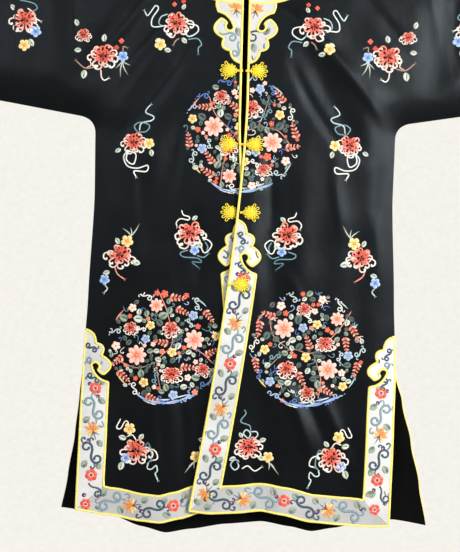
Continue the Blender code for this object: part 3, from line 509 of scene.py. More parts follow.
def triangulate(outline, lines, spacing=CLOTH_STEP):
    """Triangles of the outline, with every line among their edges and a grid between them."""
    points = []
    edges = []
    for line in [outline + outline[:1]] + lines:
        first = len(points)
        points += [tuple(p) for p in line]
        edges += [(first + i, first + i + 1) for i in range(len(line) - 1)]
    tree = KDTree(len(points))
    for i, (x, y) in enumerate(points):
        tree.insert((x, y, 0.0), i)
    tree.balance()
    low, high = np.array(points).min(axis=0), np.array(points).max(axis=0)
    rows = int((high[1] - low[1]) / (spacing * ROW_RATIO))
    columns = int((high[0] - low[0]) / spacing) + 2
    j, i = np.meshgrid(np.arange(1, rows + 1), np.arange(columns), indexing="ij")
    x = (low[0] + (i - 0.5 * (j % 2)) * spacing).ravel()
    y = (low[1] + j * spacing * ROW_RATIO).ravel()
    keep = inside(x, y, outline)
    for px, py in zip(x[keep], y[keep]):
        if tree.find((px, py, 0.0))[2] > 0.62 * spacing:
            points.append((px, py))
    made = delaunay_2d_cdt([Vector(p) for p in points], edges, [], 0, 1e-7, False)
    places = np.array([(v.x, v.y) for v in made[0]])
    faces = np.array([face for face in made[2] if len(face) == 3])
    centre = places[faces].mean(axis=1)
    faces = faces[inside(centre[:, 0], centre[:, 1], outline)]
    a, b, c = places[faces[:, 0]], places[faces[:, 1]], places[faces[:, 2]]
    turned = (b[:, 0] - a[:, 0]) * (c[:, 1] - a[:, 1]) - (c[:, 0] - a[:, 0]) * (b[:, 1] - a[:, 1])
    faces = faces[np.abs(turned) > 1e-12]
    turned = turned[np.abs(turned) > 1e-12]
    faces[turned > 0.0] = faces[turned > 0.0][:, ::-1]
    return places, faces


def rim_edges(faces):
    """The directed edges that only one face has."""
    ways = np.concatenate((faces[:, [0, 1]], faces[:, [1, 2]], faces[:, [2, 0]]))
    found = {(a, b) for a, b in ways.tolist()}
    return [(a, b) for a, b in ways.tolist() if (b, a) not in found]


def shell(name, places, faces, low, high, materials, over=False, draw_in=0.0):
    """A closed thin sheet: the triangles draped at two heights, with a rim round them."""
    used, index = np.unique(faces, return_inverse=True)
    places, faces = places[used].copy(), index.reshape(faces.shape)
    rim = rim_edges(faces)
    if draw_in:
        push = np.zeros_like(places)
        for a, b in rim:
            way = places[b] - places[a]
            way /= max(np.hypot(*way), 1e-9)
            push[a] += (way[1], -way[0])
            push[b] += (way[1], -way[0])
        size = np.linalg.norm(push, axis=1, keepdims=True)
        places += np.where(size > 1e-6, push / np.maximum(size, 1e-6), 0.0) * draw_in
    count = len(places)
    points = np.vstack([drape(places[:, 0], places[:, 1], h, over) for h in (high, low)])
    made = faces.tolist() + (faces[:, ::-1] + count).tolist()
    made += [(b, a, a + count, b + count) for a, b in rim]
    slots = [0] * len(faces) + [len(materials) - 1] * len(faces) + [0] * len(rim)
    uv = np.vstack((places, places))
    return make(name, points, made, materials, uv, slots=slots, angle=0.9)


def smooth(points, step=0.0022):
    """Points along a smooth curve through the given ones."""
    p = np.asarray(points, float)
    p = np.vstack((2.0 * p[0] - p[1], p, 2.0 * p[-1] - p[-2]))
    line = []
    for a, b, c, d in zip(p, p[1:], p[2:], p[3:]):
        count = max(int(np.hypot(*(c - b)[:2]) / step), 2)
        t = (np.arange(count) / count)[:, None]
        square, cube = 2 * a - 5 * b + 4 * c - d, 3 * b - a - 3 * c + d
        line.append(0.5 * (2 * b + (c - a) * t + square * t**2 + cube * t**3))
    return np.vstack(line + [p[-2:-1]])


def ways_of(path):
    way = np.gradient(path, axis=0)
    return way / np.maximum(np.linalg.norm(way, axis=1, keepdims=True), 1e-9)


def normals_of(path):
    way = ways_of(path)
    return np.stack((-way[:, 1], way[:, 0]), axis=1)


def evenly(path, step):
    """The path again, with points an even step apart."""
    path = np.asarray(path, float)
    run = np.concatenate(([0.0], np.cumsum(np.linalg.norm(np.diff(path, axis=0), axis=1))))
    marks = np.linspace(0.0, run[-1], max(int(run[-1] / step), 2) + 1)
    return np.stack([np.interp(marks, run, path[:, k]) for k in range(path.shape[1])], axis=1), marks


def tube_faces(sides, count, first, outward):
    """The faces of a closed tube whose points run lengthwise, side after side."""
    faces = []
    for k in range(sides):
        for i in range(count - 1):
            a, b = first + k * count + i, first + (k + 1) % sides * count + i
            faces.append((a, a + 1, b + 1, b) if outward else (a, b, b + 1, a + 1))
    near = [first + k * count for k in range(sides)]
    far = [i + count - 1 for i in near]
    return faces + ([near, far[::-1]] if outward else [near[::-1], far])


def piping(name, path, over=False, binding=False):
    """Rolled bias piping along a pattern line: a half round, or right round the cloth's edge."""
    line, marks = evenly(path, PIPING_STEP)
    normal = normals_of(line)
    turns = pi * (np.linspace(-0.35, 1.35, 13) if binding else np.linspace(0.0, 1.0, 9))
    points, uv = [], []
    for a in turns:
        high = PIPING_HALF * 0.95 * sin(a) + (-0.0002 if binding else 0.0002)
        place = line + normal * (PIPING_HALF * 1.12 * cos(a))
        points.append(drape(place[:, 0], place[:, 1], max(high, -WALL - 0.0004), over))
        uv.append(np.stack((marks, np.full(len(marks), PIPING_HALF * a)), axis=1))
    faces = tube_faces(len(turns), len(line), 0, False)
    return make(name, np.vstack(points), faces, [PIPING], np.vstack(uv))


# Stitching: strokes of satin stitch with a raised middle, in pattern coordinates

ACROSS = np.array((-1.0, -0.62, 0.0, 0.62, 1.0))


class Stitches:
    def __init__(self):
        self.grids = []

    def stroke(self, path, half, shape="cord", start="white", end=None, rim=None, lift=0.0):
        path = np.asarray(path, float)
        steps = np.linalg.norm(np.diff(path, axis=0), axis=1)
        run = np.concatenate(([0.0], np.cumsum(steps)))
        t = run / max(run[-1], 1e-9)
        ends = np.clip(np.minimum(run, run[-1] - run) / half, 0.0, 1.0)
        rounded = np.sqrt(1.0 - (1.0 - ends) ** 2)
        width = {
            "cord": rounded,
            "hook": rounded * (0.62 + 0.30 * t + 0.34 * np.exp(-(((t - 0.93) / 0.07) ** 2))),
            "scroll": rounded * (0.72 + 0.28 * (1.0 - np.abs(2.0 * t - 1.0) ** 2)
                                 + 0.42 * np.exp(-(((np.abs(2.0 * t - 1.0) - 0.96) / 0.05) ** 2))),
            "taper": np.sin(pi * np.clip(t * 0.94 + 0.03, 0, 1)) ** 0.7 * (1.1 - 0.5 * t),
            "leaf": np.sin(pi * t**0.80) ** 0.72,
            "petal": np.sin(pi * t**1.45) ** 0.55,
            "drop": np.sin(pi * t**1.1) ** 0.6,
        }[shape] * half
        width = np.maximum(width, 0.00012)
        normal = normals_of(path)
        place = path[:, None, :] + normal[:, None, :] * (width[:, None] * ACROSS[None, :])[..., None]
        rise = min(0.34 * half, 0.0008)
        high = lift + 0.00015 + rise * np.sqrt(1.0 - ACROSS**2)[None, :] * (width / half)[:, None] ** 0.5
        high[:, [0, -1]] = -0.00015
        shade = tone(start)[None, :] + (tone(end or start) - tone(start))[None, :] * ease(t)[:, None]
        shade = np.repeat(shade[:, None, :], len(ACROSS), axis=1)
        if rim:
            edge = np.array((1.0, 0.35, 0.0, 0.35, 1.0))[None, :, None]
            shade = shade + (tone(rim) - shade) * np.maximum(edge, ease((t - 0.72) / 0.28)[:, None, None])
        else:
            # Without a rim tone a stroke darkens towards both edges: partly the dark gaps between stitches,
            # partly painted shade where the raised stroke falls away at its sides.
            shade = shade * np.array((0.36, 0.92, 1.0, 0.92, 0.36))[None, :, None]
        uv = np.stack(np.broadcast_arrays(run[:, None], width[:, None] * ACROSS[None, :]), axis=-1)
        self.grids.append((place, high, shade, uv))

    def build(self, name, over, keep, base=0.0):
        """One mesh of all the strokes on a base height, without the faces that keep() refuses."""
        wide = len(ACROSS)
        faces, first = [], 0
        for grid in self.grids:
            rows = len(grid[0])
            i, j = np.meshgrid(np.arange(rows - 1), np.arange(wide - 1), indexing="ij")
            a = (first + i * wide + j).ravel()
            faces.append(np.stack((a, a + 1, a + wide + 1, a + wide), axis=1))
            first += rows * wide
        faces = np.vstack(faces)
        place, high, shade, uv = [np.concatenate([part.reshape(-1, *part.shape[2:]) for part in parts])
                                  for parts in zip(*self.grids)]
        centre = place[faces].mean(axis=1)
        faces = faces[keep(centre[:, 0], centre[:, 1])]
        used, index = np.unique(faces, return_inverse=True)
        points = drape(place[used, 0], place[used, 1], high[used] + base, over)
        return make(name, points, index.reshape(faces.shape), [THREAD], uv[used], shade[used])


def turned(points, angle):
    points = np.asarray(points, float)
    c, s = cos(angle), sin(angle)
    return np.stack((points[:, 0] * c - points[:, 1] * s, points[:, 0] * s + points[:, 1] * c), axis=1)


class Spot:
    """A place on the pattern: local metres, y down, turned, sized and mirrored there."""

    def __init__(self, x, s, angle=0.0, size=1.0, mirror=1.0):
        self.x, self.s, self.angle, self.size, self.mirror = x, s, angle, size, mirror

    def __call__(self, points):
        points = turned(points, self.angle) * self.size
        return np.stack((self.x + self.mirror * points[:, 0], self.s + points[:, 1]), axis=1)

    def at(self, x, y, angle=0.0, size=1.0):
        moved = self(np.array(((x, y),)))[0]
        return Spot(moved[0], moved[1], self.angle + angle, self.size * size, self.mirror)


# A petal's or a tendril's hooked line, one unit long
HOOK = np.array(
    ((0, 0), (0.35, 0.10), (0.70, 0.13), (0.93, 0.03), (0.93, -0.17), (0.76, -0.24), (0.66, -0.13)))

# Petals of a chrysanthemum, outer first: degrees (90 hangs down), start and end from the middle,
# curl side, half width, tones, lift. Lower ones drape and curl up, upper ones close into a cup.
PETALS = (
    (-166, 0.34, 1.08, 1, 0.088, "blush", "white", 0.0),
    (-14, 0.34, 1.1, -1, 0.088, "blush", "white", 0.0),
    (14, 0.36, 1.36, -1, 0.092, "blush", "white", 0.0),
    (166, 0.36, 1.34, 1, 0.092, "blush", "white", 0.0),
    (44, 0.36, 1.26, -1, 0.094, "blush", "white", 0.0),
    (136, 0.36, 1.28, 1, 0.094, "blush", "white", 0.0),
    (72, 0.36, 1.22, 1, 0.094, "rose", "white", 0.0),
    (104, 0.36, 1.36, -1, 0.094, "rose", "white", 0.0),
    (-140, 0.3, 1.0, -1, 0.092, "coral", "blush", 0.0001),
    (-40, 0.3, 1.0, 1, 0.092, "coral", "blush", 0.0001),
    (-112, 0.3, 0.98, 1, 0.094, "coral", "rose", 0.0001),
    (-70, 0.3, 1.0, -1, 0.094, "coral", "rose", 0.0001),
    (-4, 0.26, 0.86, 1, 0.094, "coral", "rose", 0.0002),
    (184, 0.26, 0.86, -1, 0.094, "coral", "blush", 0.0002),
    (34, 0.26, 0.88, 1, 0.094, "coral", "blush", 0.0002),
    (148, 0.26, 0.86, -1, 0.094, "coral", "rose", 0.0002),
    (66, 0.24, 0.86, -1, 0.094, "coral", "blush", 0.0002),
    (112, 0.24, 0.88, 1, 0.094, "coral", "blush", 0.0002),
    (-126, 0.14, 0.7, 1, 0.086, "deep", "coral", 0.0003),
    (-54, 0.14, 0.7, -1, 0.086, "deep", "coral", 0.0003),
    (-90, 0.18, 0.74, 1, 0.086, "deep", "coral", 0.0003),
    (-14, 0.12, 0.6, -1, 0.084, "red", "coral", 0.0004),
    (-168, 0.12, 0.6, 1, 0.084, "red", "coral", 0.0004),
    (44, 0.08, 0.56, 1, 0.084, "red", "coral", 0.0004),
    (130, 0.08, 0.56, -1, 0.084, "red", "coral", 0.0004),
    (88, 0.02, 0.46, -1, 0.08, "deep", "red", 0.0005),
    (-72, 0.0, 0.42, 1, 0.078, "red", "coral", 0.0005),
    (-130, 0.0, 0.4, -1, 0.078, "maroon", "deep", 0.0006),
)


def bloom(st, spot, radius, seed=0):
    """A chrysanthemum of curled petals, each a thick cord: red heart, coral cup, pale drooping rim."""
    rng = np.random.default_rng(seed)
    tilt = radians(rng.uniform(-14.0, 14.0))
    for degrees, near, far, side, half, start, end, lift in PETALS:
        a = radians(degrees + rng.uniform(-11.0, 11.0)) + tilt
        length = (far - near) * rng.uniform(0.80, 1.18)
        hook = turned(HOOK * (length, length * side * rng.uniform(1.15, 1.65)), a)
        hook = (hook + np.array((cos(a), sin(a))) * near) * (1.0, 0.92)
        line = smooth(spot(hook * radius), STROKE_STEP)
        st.stroke(line, half * radius * spot.size, "hook", start, end, lift=lift)


def floret(st, spot, radius, petals, inner, outer, heart, count_angle=0.0):
    """A small flower of full petals round a heart."""
    for i in range(petals):
        a = 2.0 * pi * (i + count_angle) / petals
        path = turned(((0.10, 0.0), (0.45, 0.0), (0.75, 0.0), (1.0, 0.0)), a) * radius
        half = radius * spot.size * min(2.1 / petals, 0.55)
        line = smooth(spot(path), FINE_STEP)
        st.stroke(line, half, "petal", inner, outer, rim=outer, lift=LAYER * (i % 2))
    dot(st, spot, radius * 0.26, heart)


def dot(st, spot, radius, shade, lift=4 * LAYER):
    path = np.array(((-1.0, 0.0), (-0.4, 0.0), (0.4, 0.0), (1.0, 0.0))) * radius
    st.stroke(smooth(spot(path), 0.0010), radius * spot.size, "cord", shade, lift=lift)


def leaf(st, spot, length, shade="sage", light="mist", wide=0.34):
    """A leaf of two tones with its midrib as a groove between them."""
    for side, colour in ((1.0, shade), (-1.0, light)):
        path = np.array(((0.0, 0.0), (0.3, 0.16 * side), (0.65, 0.17 * side), (1.0, 0.0)))
        path = path * (length, length * wide / 0.34)
        st.stroke(smooth(spot(path), FINE_STEP), length * wide * 0.52 * spot.size, "leaf", colour, light)


def ribbon(st, spot, points, half, start, end):
    """A flat ribbon with its edges in the second tone and a forked end."""
    path = smooth(spot(np.array(points, float) * PIXEL))
    st.stroke(path, half, "cord", start, end, lift=LAYER, rim=end if end != start else None)
    way = path[-1] - path[-3]
    way /= max(np.hypot(*way), 1e-9)
    for turn in (-0.7, 0.7):
        tip = path[-1] + turned((way,), turn)[0] * 3.0 * half
        fork = np.array((path[-2], 0.5 * (path[-1] + tip), tip))
        st.stroke(fork, 0.55 * half, "taper", end, lift=LAYER)


def hooklet(st, spot, size, shade, side=1.0, half=0.0015):
    """A single curled tendril."""
    path = HOOK * (size, size * side * 1.4)
    st.stroke(smooth(spot(path), STROKE_STEP), half * spot.size, "hook", shade, lift=LAYER)


def scroll(st, spot, size, shade, side=1.0, half=0.0026, first=-1.0):
    """An S of two spirals with side shoots or, with first nearer to zero, one spiral on a tail."""
    t = np.linspace(first, 1.0, 57)
    heading = 2.2 * pi * np.abs(t) ** 1.6
    step = np.stack((np.cos(heading), side * np.sin(heading)), axis=1) * (t[1] - t[0])
    path = np.cumsum(step, axis=0)
    path = (path - 0.5 * (path.max(axis=0) + path.min(axis=0))) * size
    st.stroke(spot(path), half * spot.size, "scroll", shade, shade, lift=2 * LAYER)
    if first > -1.0:
        return
    for i, way in ((20, -1.0), (36, 1.0)):
        a = np.arctan2(*(step[i][::-1]))
        x, y = path[i]
        shoot = spot.at(x, y, a + (pi if way < 0 else 0.0) - 0.60 * side)
        hooklet(st, shoot, 0.24 * size, shade, side, 0.72 * half)


def maple(st, spot, radius):
    """A maple leaf of pointed lobes on a dark twig of three shoots."""
    for a, size, start, end in (
        (-118, 0.66, "orange", "straw"), (118, 0.70, "amber", "straw"), (-82, 0.86, "amber", "straw"),
        (78, 0.84, "orange", "amber"), (-44, 1.00, "orange", "amber"), (40, 0.96, "orange", "amber"),
        (-2, 1.12, "orange", "amber"),
    ):
        path = turned(((0.0, 0.0), (0.35, 0.04), (0.7, 0.0), (1.0, -0.03)), radians(a)) * radius * size
        st.stroke(smooth(spot(path), STROKE_STEP), 0.17 * radius * spot.size, "leaf", start, end, lift=LAYER)
    for end in ((-0.95, -0.10), (-0.62, 0.42), (-0.55, -0.48)):
        path = np.array(((0.05, 0.0), (end[0] * 0.5, end[1] * 0.3), end)) * radius
        st.stroke(smooth(spot(path), STROKE_STEP), 0.0011, "taper", "maroon", "ink", lift=4 * LAYER)


def poppy(st, spot, radius):
    """A full round flower: six broad red petals, a pale ring and a dark eye."""
    for i in range(6):
        a = 2.0 * pi * (i + 0.2) / 6
        path = turned(((0.05, 0.0), (0.35, 0.0), (0.7, 0.0), (1.0, 0.0)), a) * radius
        st.stroke(smooth(spot(path), 0.0014), 0.47 * radius * spot.size, "petal", "red", "red",
                  rim="deep" if i % 2 else "salmon", lift=LAYER * (i % 3))
    ring = np.array([(cos(a), sin(a)) for a in np.linspace(0.0, 2.0 * pi, 17)]) * radius * 0.33
    st.stroke(spot(ring), 0.11 * radius * spot.size, "cord", "blush", lift=5 * LAYER)
    dot(st, spot, radius * 0.22, "olive", 0.0006)


def berry(st, spot, radius):
    dot(st, spot, radius, "plum", 2 * LAYER)
    dot(st, spot.at(radius * 0.35, radius * 0.25), radius * 0.45, "rose", 0.0006)


def grass(st, spot, ends):
    for x, y in ends:
        path = np.array(((0.0, 0.0), (x * 0.4 - y * 0.08, y * 0.45), (x, y))) * PIXEL
        st.stroke(smooth(spot(path), 0.0024), 0.0016, "taper", "mist", "sage")


# The sprays, in photo steps of 2 mm from the main flower, x across and y down, as on the wearer's right
SPRAYS = {
    "chest": (
        ("ribbon", "white", "ice",
         ((-10, 3), (-24, 4), (-25, -4), (-19, -14), (-22, -17), (-27, -10), (-30, -7), (-33, -12))),
        ("ribbon", "ice", "teal", ((-9, -9), (-16, -6), (-18, 1), (-12, 4))),
        ("ribbon", "white", "ice", ((10, 0), (20, 2), (21, 8), (13, 13), (8, 10))),
        ("ribbon", "teal", "teal", ((11, 16), (21, 15), (25, 21), (22, 24), (22, 30))),
        ("ribbon", "taupe", "taupe", ((3, 15), (-1, 18), (-3, 22))), ("leaf", -21, 20, -35, 6.5),
        ("leaf", -12, 27, 8, 7), ("leaf", 5, -14, -60, 6), ("leaf", 5, 15, 40, 7),
        ("bud", -3, -19, 2.4, "coral"), ("bud", 6, -22, 2.4, "red"), ("bloom", 0, 0, 11.5),
        ("small", -16, 22, 6.0, "gold", "straw"),
    ),
    "sleeve": (
        ("ribbon", "taupe", "taupe", ((-8, 12), (-18, 13), (-27, 6))),
        ("ribbon", "taupe", "blush", ((-17, 13), (-12, 10), (-13, 6))),
        ("ribbon", "taupe", "taupe", ((20, -3), (20, -9), (24, -8))),
        ("ribbon", "blush", "white", ((-2, 14), (-1, 22), (2, 25), (6, 23))),
        ("grass", 20, 6, ((-7, 7), (-2, 16), (6, 14), (8, 4))), ("leaf", 0, -14, -80, 7.5),
        ("leaf", -26, -29, -110, 7), ("leaf", -22, -5, 175, 7), ("leaf", -18, 15, 100, 9),
        ("bud", 18, -15, 2.8, "coral"), ("bud", 13, -8, 2.8, "red"), ("bloom", -20, -20, 6.5),
        ("bloom", 0, 0, 12.5), ("small", 20, 1, 5.6, "blue", "sky"),
    ),
    "side": (
        ("ribbon", "teal", "teal", ((3, -10), (0, -16), (6, -20), (15, -17), (12, -11), (4, -10))),
        ("ribbon", "ice", "ice", ((5, -11), (7, -19), (17, -22), (19, -26), (11, -30), (13, -35), (16, -38))),
        ("ribbon", "ice", "white", ((-6, 9), (2, 12), (0, 22), (-7, 18), (-6, 9))),
        ("ribbon", "ice", "white",
         ((-6, 9), (-10, 15), (-6, 24), (4, 26), (14, 23), (13, 29), (1, 29), (3, 35))),
        ("leaf", 17, 7, 78, 7), ("leaf", -13, 7, 150, 6.5), ("bloom", 0, 0, 10.5),
        ("small", 15, 1, 5.6, "gold", "straw"),
    ),
    "waist": (
        ("ribbon", "teal", "lagoon", ((-1, 17), (-9, 20), (-6, 24), (8, 25), (12, 29), (3, 29), (10, 35))),
        ("ribbon", "teal", "teal", ((15, 8), (18, 13), (17, 18))),
        ("ribbon", "teal", "teal", ((7, 22), (14, 24), (19, 20))),
        ("ribbon", "white", "white",
         ((-9, -23), (-7, -18), (-1, -16), (-2, -13), (-10, -14), (-14, -10), (-13, -6))),
        ("ribbon", "white", "white", ((13, 7), (17, 6), (22, 11), (18, 18), (14, 19), (11, 13))),
        ("leaf", 2, -13, -40, 6.5), ("leaf", 8, 8, 60, 8), ("bloom", 0, 0, 12.5),
        ("small", 5, 17, 5.0, "blue", "sky"),
    ),
    "flank": (
        ("grass", 11, -19, ((-9, -8), (-1, -9), (8, -13))),
        ("ribbon", "taupe", "rose", ((-5, 12), (-2, 19), (5, 24))),
        ("ribbon", "sage", "mist", ((-15, 30), (-12, 34), (-15, 38))), ("leaf", -1, -11, -120, 7),
        ("leaf", 12, 6, 15, 9), ("leaf", -10, 17, 165, 7), ("bloom", 0, 0, 11.5),
        ("small", 7, -14, 6.4, "gold", "straw"), ("small", -15, 25, 5.4, "blue", "sky"),
    ),
    "hem": (
        ("ribbon", "white", "white", ((-16, -31), (-20, -22), (-16, -21), (-12, -28), (-9, -28), (-8, -24))),
        ("ribbon", "ice", "white", ((-10, -13), (-4, -15), (0, -10))),
        ("ribbon", "lagoon", "teal", ((9, -4), (12, -8), (15, -2), (16, 7), (13, 12))),
        ("ribbon", "mist", "white", ((12, 2), (14, -2), (20, 0), (22, 7), (17, 9))),
        ("ribbon", "mist", "ice", ((13, 11), (12, 17), (16, 18), (21, 14), (22, 20), (20, 22), (23, 29))),
        ("leaf", -10, -11, -165, 8), ("leaf", 3, -11, -50, 7), ("leaf", -13, 12, 110, 9),
        ("bloom", 0, 0, 12.0), ("small", -7, -21, 6.2, "gold", "straw"),
        ("small", -10, 8, 5.4, "blue", "sky"),
    ),
    "low": (
        ("ribbon", "teal", "teal", ((5, -37), (3, -33), (8, -25), (-1, -21), (-2, -14))),
        ("ribbon", "ice", "ice", ((0, -8), (5, -13), (2, -17), (-2, -13), (0, -8))),
        ("ribbon", "ice", "ice", ((-2, -15), (-8, -15), (-9, -11), (-4, -7))),
        ("ribbon", "white", "white", ((6, 22), (0, 19), (-7, 24), (-14, 20))),
        ("ribbon", "teal", "ice", ((8, 15), (13, 13), (17, 18), (13, 23), (9, 20), (10, 16))),
        ("grass", -21, 15, ((0, 8), (-6, 5), (-10, 12))), ("leaf", 6, -9, -60, 6),
        ("leaf", -11, -6, -165, 7), ("leaf", -10, 10, 160, 7), ("leaf", 12, 11, 20, 7),
        ("bloom", 0, 0, 11.5), ("small", -20, 10, 5.8, "gold", "straw"),
    ),
    "cuff": (
        ("ribbon", "teal", "teal", ((-6, -20), (8, -17), (12, -12), (6, -8))),
        ("ribbon", "white", "white", ((2, -12), (8, -8), (11, -2), (16, 1))), ("leaf", 5, 19, 60, 8),
        ("leaf", -10, -10, -130, 7), ("bloom", 0, 0, 11.5), ("small", 11, 11, 6.0, "blue", "sky"),
        ("small", 0, 25, 6.0, "gold", "straw"),
    ),
}

# Where the sprays go: name, photo place of the main flower, which front, mirrored
PLACES = (
    ("chest", 177, 23, -1), ("chest", 314, 27, 1), ("sleeve", 103, 55, -1), ("sleeve", 388, 57, 1),
    ("side", 134, 142, -1), ("side", 350, 145, 1), ("waist", 190, 233, -1), ("waist", 287, 235, 1),
    ("flank", 120, 255, -1), ("flank", 361, 258, 1), ("hem", 136, 450, -1), ("hem", 331, 458, 1),
    ("low", 216, 447, -1), ("low", 248, 446, 1), ("cuff", 25, 20, -1), ("cuff", 470, 30, 1),
)

# Round medallions: photo place, radius in photo steps
ROUNDELS = ((242, 135, 59.5, (-1, 1)), (166, 346.5, 58.5, (-1,)), (307, 349, 59, (1,)))

# What a medallion holds, in radii from its middle, y down: kind, x, y, size, then degrees or tones
MEDALLION = (
    ("peony", -0.4, -0.34, 0.175), ("peony", 0.36, 0.34, 0.175), ("peony", 0.5, -0.52, 0.125),
    ("bloom", 0.3, -0.1, 0.15), ("bloom", -0.34, 0.34, 0.165), ("bloom", -0.06, -0.68, 0.125),
    ("bloom", 0.02, 0.74, 0.13), ("small", -0.02, 0.14, 0.085, "gold", "straw"),
    ("small", -0.72, 0.02, 0.085, "gold", "straw"), ("small", 0.7, 0.1, 0.085, "blue", "sky"),
    ("small", -0.08, -0.36, 0.08, "blue", "sky"), ("small", -0.62, 0.56, 0.085, "blue", "sky"),
    ("small", 0.16, -0.42, 0.08, "gold", "straw"), ("small", 0.62, 0.62, 0.08, "gold", "straw"),
    ("small", 0.24, -0.84, 0.075, "white", "blush"), ("small", -0.46, -0.72, 0.08, "white", "blush"),
    ("sprig", 0.8, -0.3, 0.15, 62), ("sprig", 0.66, -0.1, 0.14, 84),
    ("sprig", -0.82, -0.34, 0.15, 100), ("sprig", -0.66, -0.56, 0.14, 200),
    ("sprig", -0.1, 0.5, 0.15, 60), ("sprig", 0.02, -0.1, 0.14, 250), ("sprig", 0.84, 0.32, 0.14, 110),
    ("sprig", -0.86, 0.28, 0.14, 80), ("sprig", 0.34, 0.7, 0.14, 30),
    ("cloud", -0.26, -0.88, 0.13, 10, "ice"), ("cloud", 0.54, -0.76, 0.14, 40, "white"),
    ("cloud", 0.9, 0.04, 0.13, 95, "ice"), ("cloud", -0.9, -0.06, 0.13, 85, "white"),
    ("cloud", -0.56, 0.78, 0.13, -30, "sky"), ("cloud", 0.3, 0.9, 0.14, -14, "blue"),
    ("cloud", 0.56, 0.8, 0.12, -40, "sky"), ("cloud", -0.16, 0.93, 0.13, 6, "blue"),
    ("cloud", 0.02, -0.52, 0.1, 20, "white"), ("cloud", -0.54, 0.14, 0.12, 120, "teal"),
    ("cloud", 0.56, 0.12, 0.1, 70, "ice"), ("cloud", -0.8, 0.44, 0.1, 60, "blue"),
)

# How far each medallion is turned, its stems, and what fills the room between the rest
MEDALLION_TURNS = (0.0, 152.0, -58.0)
MEDALLION_STEMS = (
    ((-0.70, 0.36), (-0.30, 0.02), (0.10, 0.06), (0.50, -0.30), (0.74, -0.66)),
    ((0.10, 0.06), (0.24, 0.50), (0.20, 0.84)), ((-0.30, 0.02), (-0.58, -0.22), (-0.66, -0.62)),
)
FILLER_TRIES = 1500
FILLER_LEAVES = (("mist", "sage"), ("sage", "olive"), ("olive", "olive"), ("olive", "ink"))
FILLER_FLORETS = (("coral", "rose"), ("red", "coral"), ("white", "blush"), ("deep", "coral"))
FILLER_HOOKS = ("teal", "white", "sky", "blue")

# Arcs of waves and stems round its rim: degrees from and to, distance out, half width, tones
RIM = (
    (56, 74, 0.95, 0.026, "blue", "sky"), (72, 92, 0.962, 0.03, "blue", "sky"),
    (90, 108, 0.95, 0.026, "blue", "sky"), (106, 122, 0.962, 0.022, "blue", "sky"),
    (64, 80, 0.9, 0.014, "sky", "white"), (84, 98, 0.905, 0.014, "sky", "white"),
    (98, 112, 0.985, 0.012, "white", "white"), (28, 42, 0.96, 0.016, "teal", "ice"),
    (136, 148, 0.955, 0.016, "gold", "straw"), (206, 220, 0.955, 0.016, "taupe", "rose"),
    (300, 314, 0.96, 0.016, "teal", "ice"),
)


def from_photo(px, py):
    """The pattern place that a photo step shows."""
    across = px - (PHOTO_MIDDLE - PHOTO_TILT * py)
    return across * PIXEL, (py - PHOTO_TILT * across + PHOTO_TOP) * PIXEL + DROP_TO_S


def spray(st, name, spot, seed):
    """One spray of flowers, with every piece drawn by its own rule."""
    for kind, *row in SPRAYS[name]:
        if kind == "ribbon":
            ribbon(st, spot, row[2], 0.0014, row[0], row[1])
        else:
            turn = radians(row[2]) if kind == "leaf" else 0.0
            here = spot.at(row[0] * PIXEL, row[1] * PIXEL, turn)
        if kind == "grass":
            grass(st, here, row[2])
        elif kind == "leaf":
            leaf(st, here, row[3] * PIXEL)
        elif kind == "bud":
            floret(st, here, row[2] * PIXEL, 4, row[3], row[3], row[3])
        elif kind == "bloom":
            bloom(st, here, row[2] * PIXEL, seed)
        elif kind == "small":
            floret(st, here, row[2] * PIXEL, 5, row[3], row[4], row[3], 0.25)
        seed += 1


def peony(st, spot, radius):
    """A full pale flower with a second, darker ring of petals inside."""
    floret(st, spot, radius, 8, "rose", "blush", "coral", 0.2)
    for i in range(6):
        a = 2.0 * pi * (i + 0.5) / 6
        path = turned(((0.05, 0.0), (0.3, 0.0), (0.6, 0.0)), a) * radius
        half = 0.20 * radius * spot.size
        st.stroke(smooth(spot(path), FINE_STEP), half, "petal", "coral", "rose", rim="blush", lift=3 * LAYER)
    dot(st, spot, radius * 0.16, "gold", 0.0007)


def sprig(st, spot, length):
    """A stem of hanging blossoms in pairs, smaller towards its end."""
    stem = np.array(((-0.5, 0.0), (0.0, 0.03), (0.5, 0.0))) * length * 2.0
    st.stroke(smooth(spot(stem), 0.0024), 0.0007, "taper", "taupe")
    for i in range(4):
        x = (-0.80 + 0.46 * i) * length
        size = (0.62 - 0.08 * i) * length
        for side in (-1.0, 1.0):
            path = turned(((0.0, 0.0), (0.5, 0.06), (1.0, 0.0)), side * 0.95) * size + (x, 0.0)
            tones = ("coral", "rose") if (i + (side > 0)) % 3 else ("rose", "blush")
            st.stroke(smooth(spot(path), FINE_STEP), 0.30 * size, "drop", *tones, lift=LAYER)
    tip = np.array(((0.70, 0.0), (0.90, 0.0), (1.15, 0.0))) * length
    st.stroke(smooth(spot(tip), FINE_STEP), 0.12 * length, "drop", "coral", "rose", lift=LAYER)


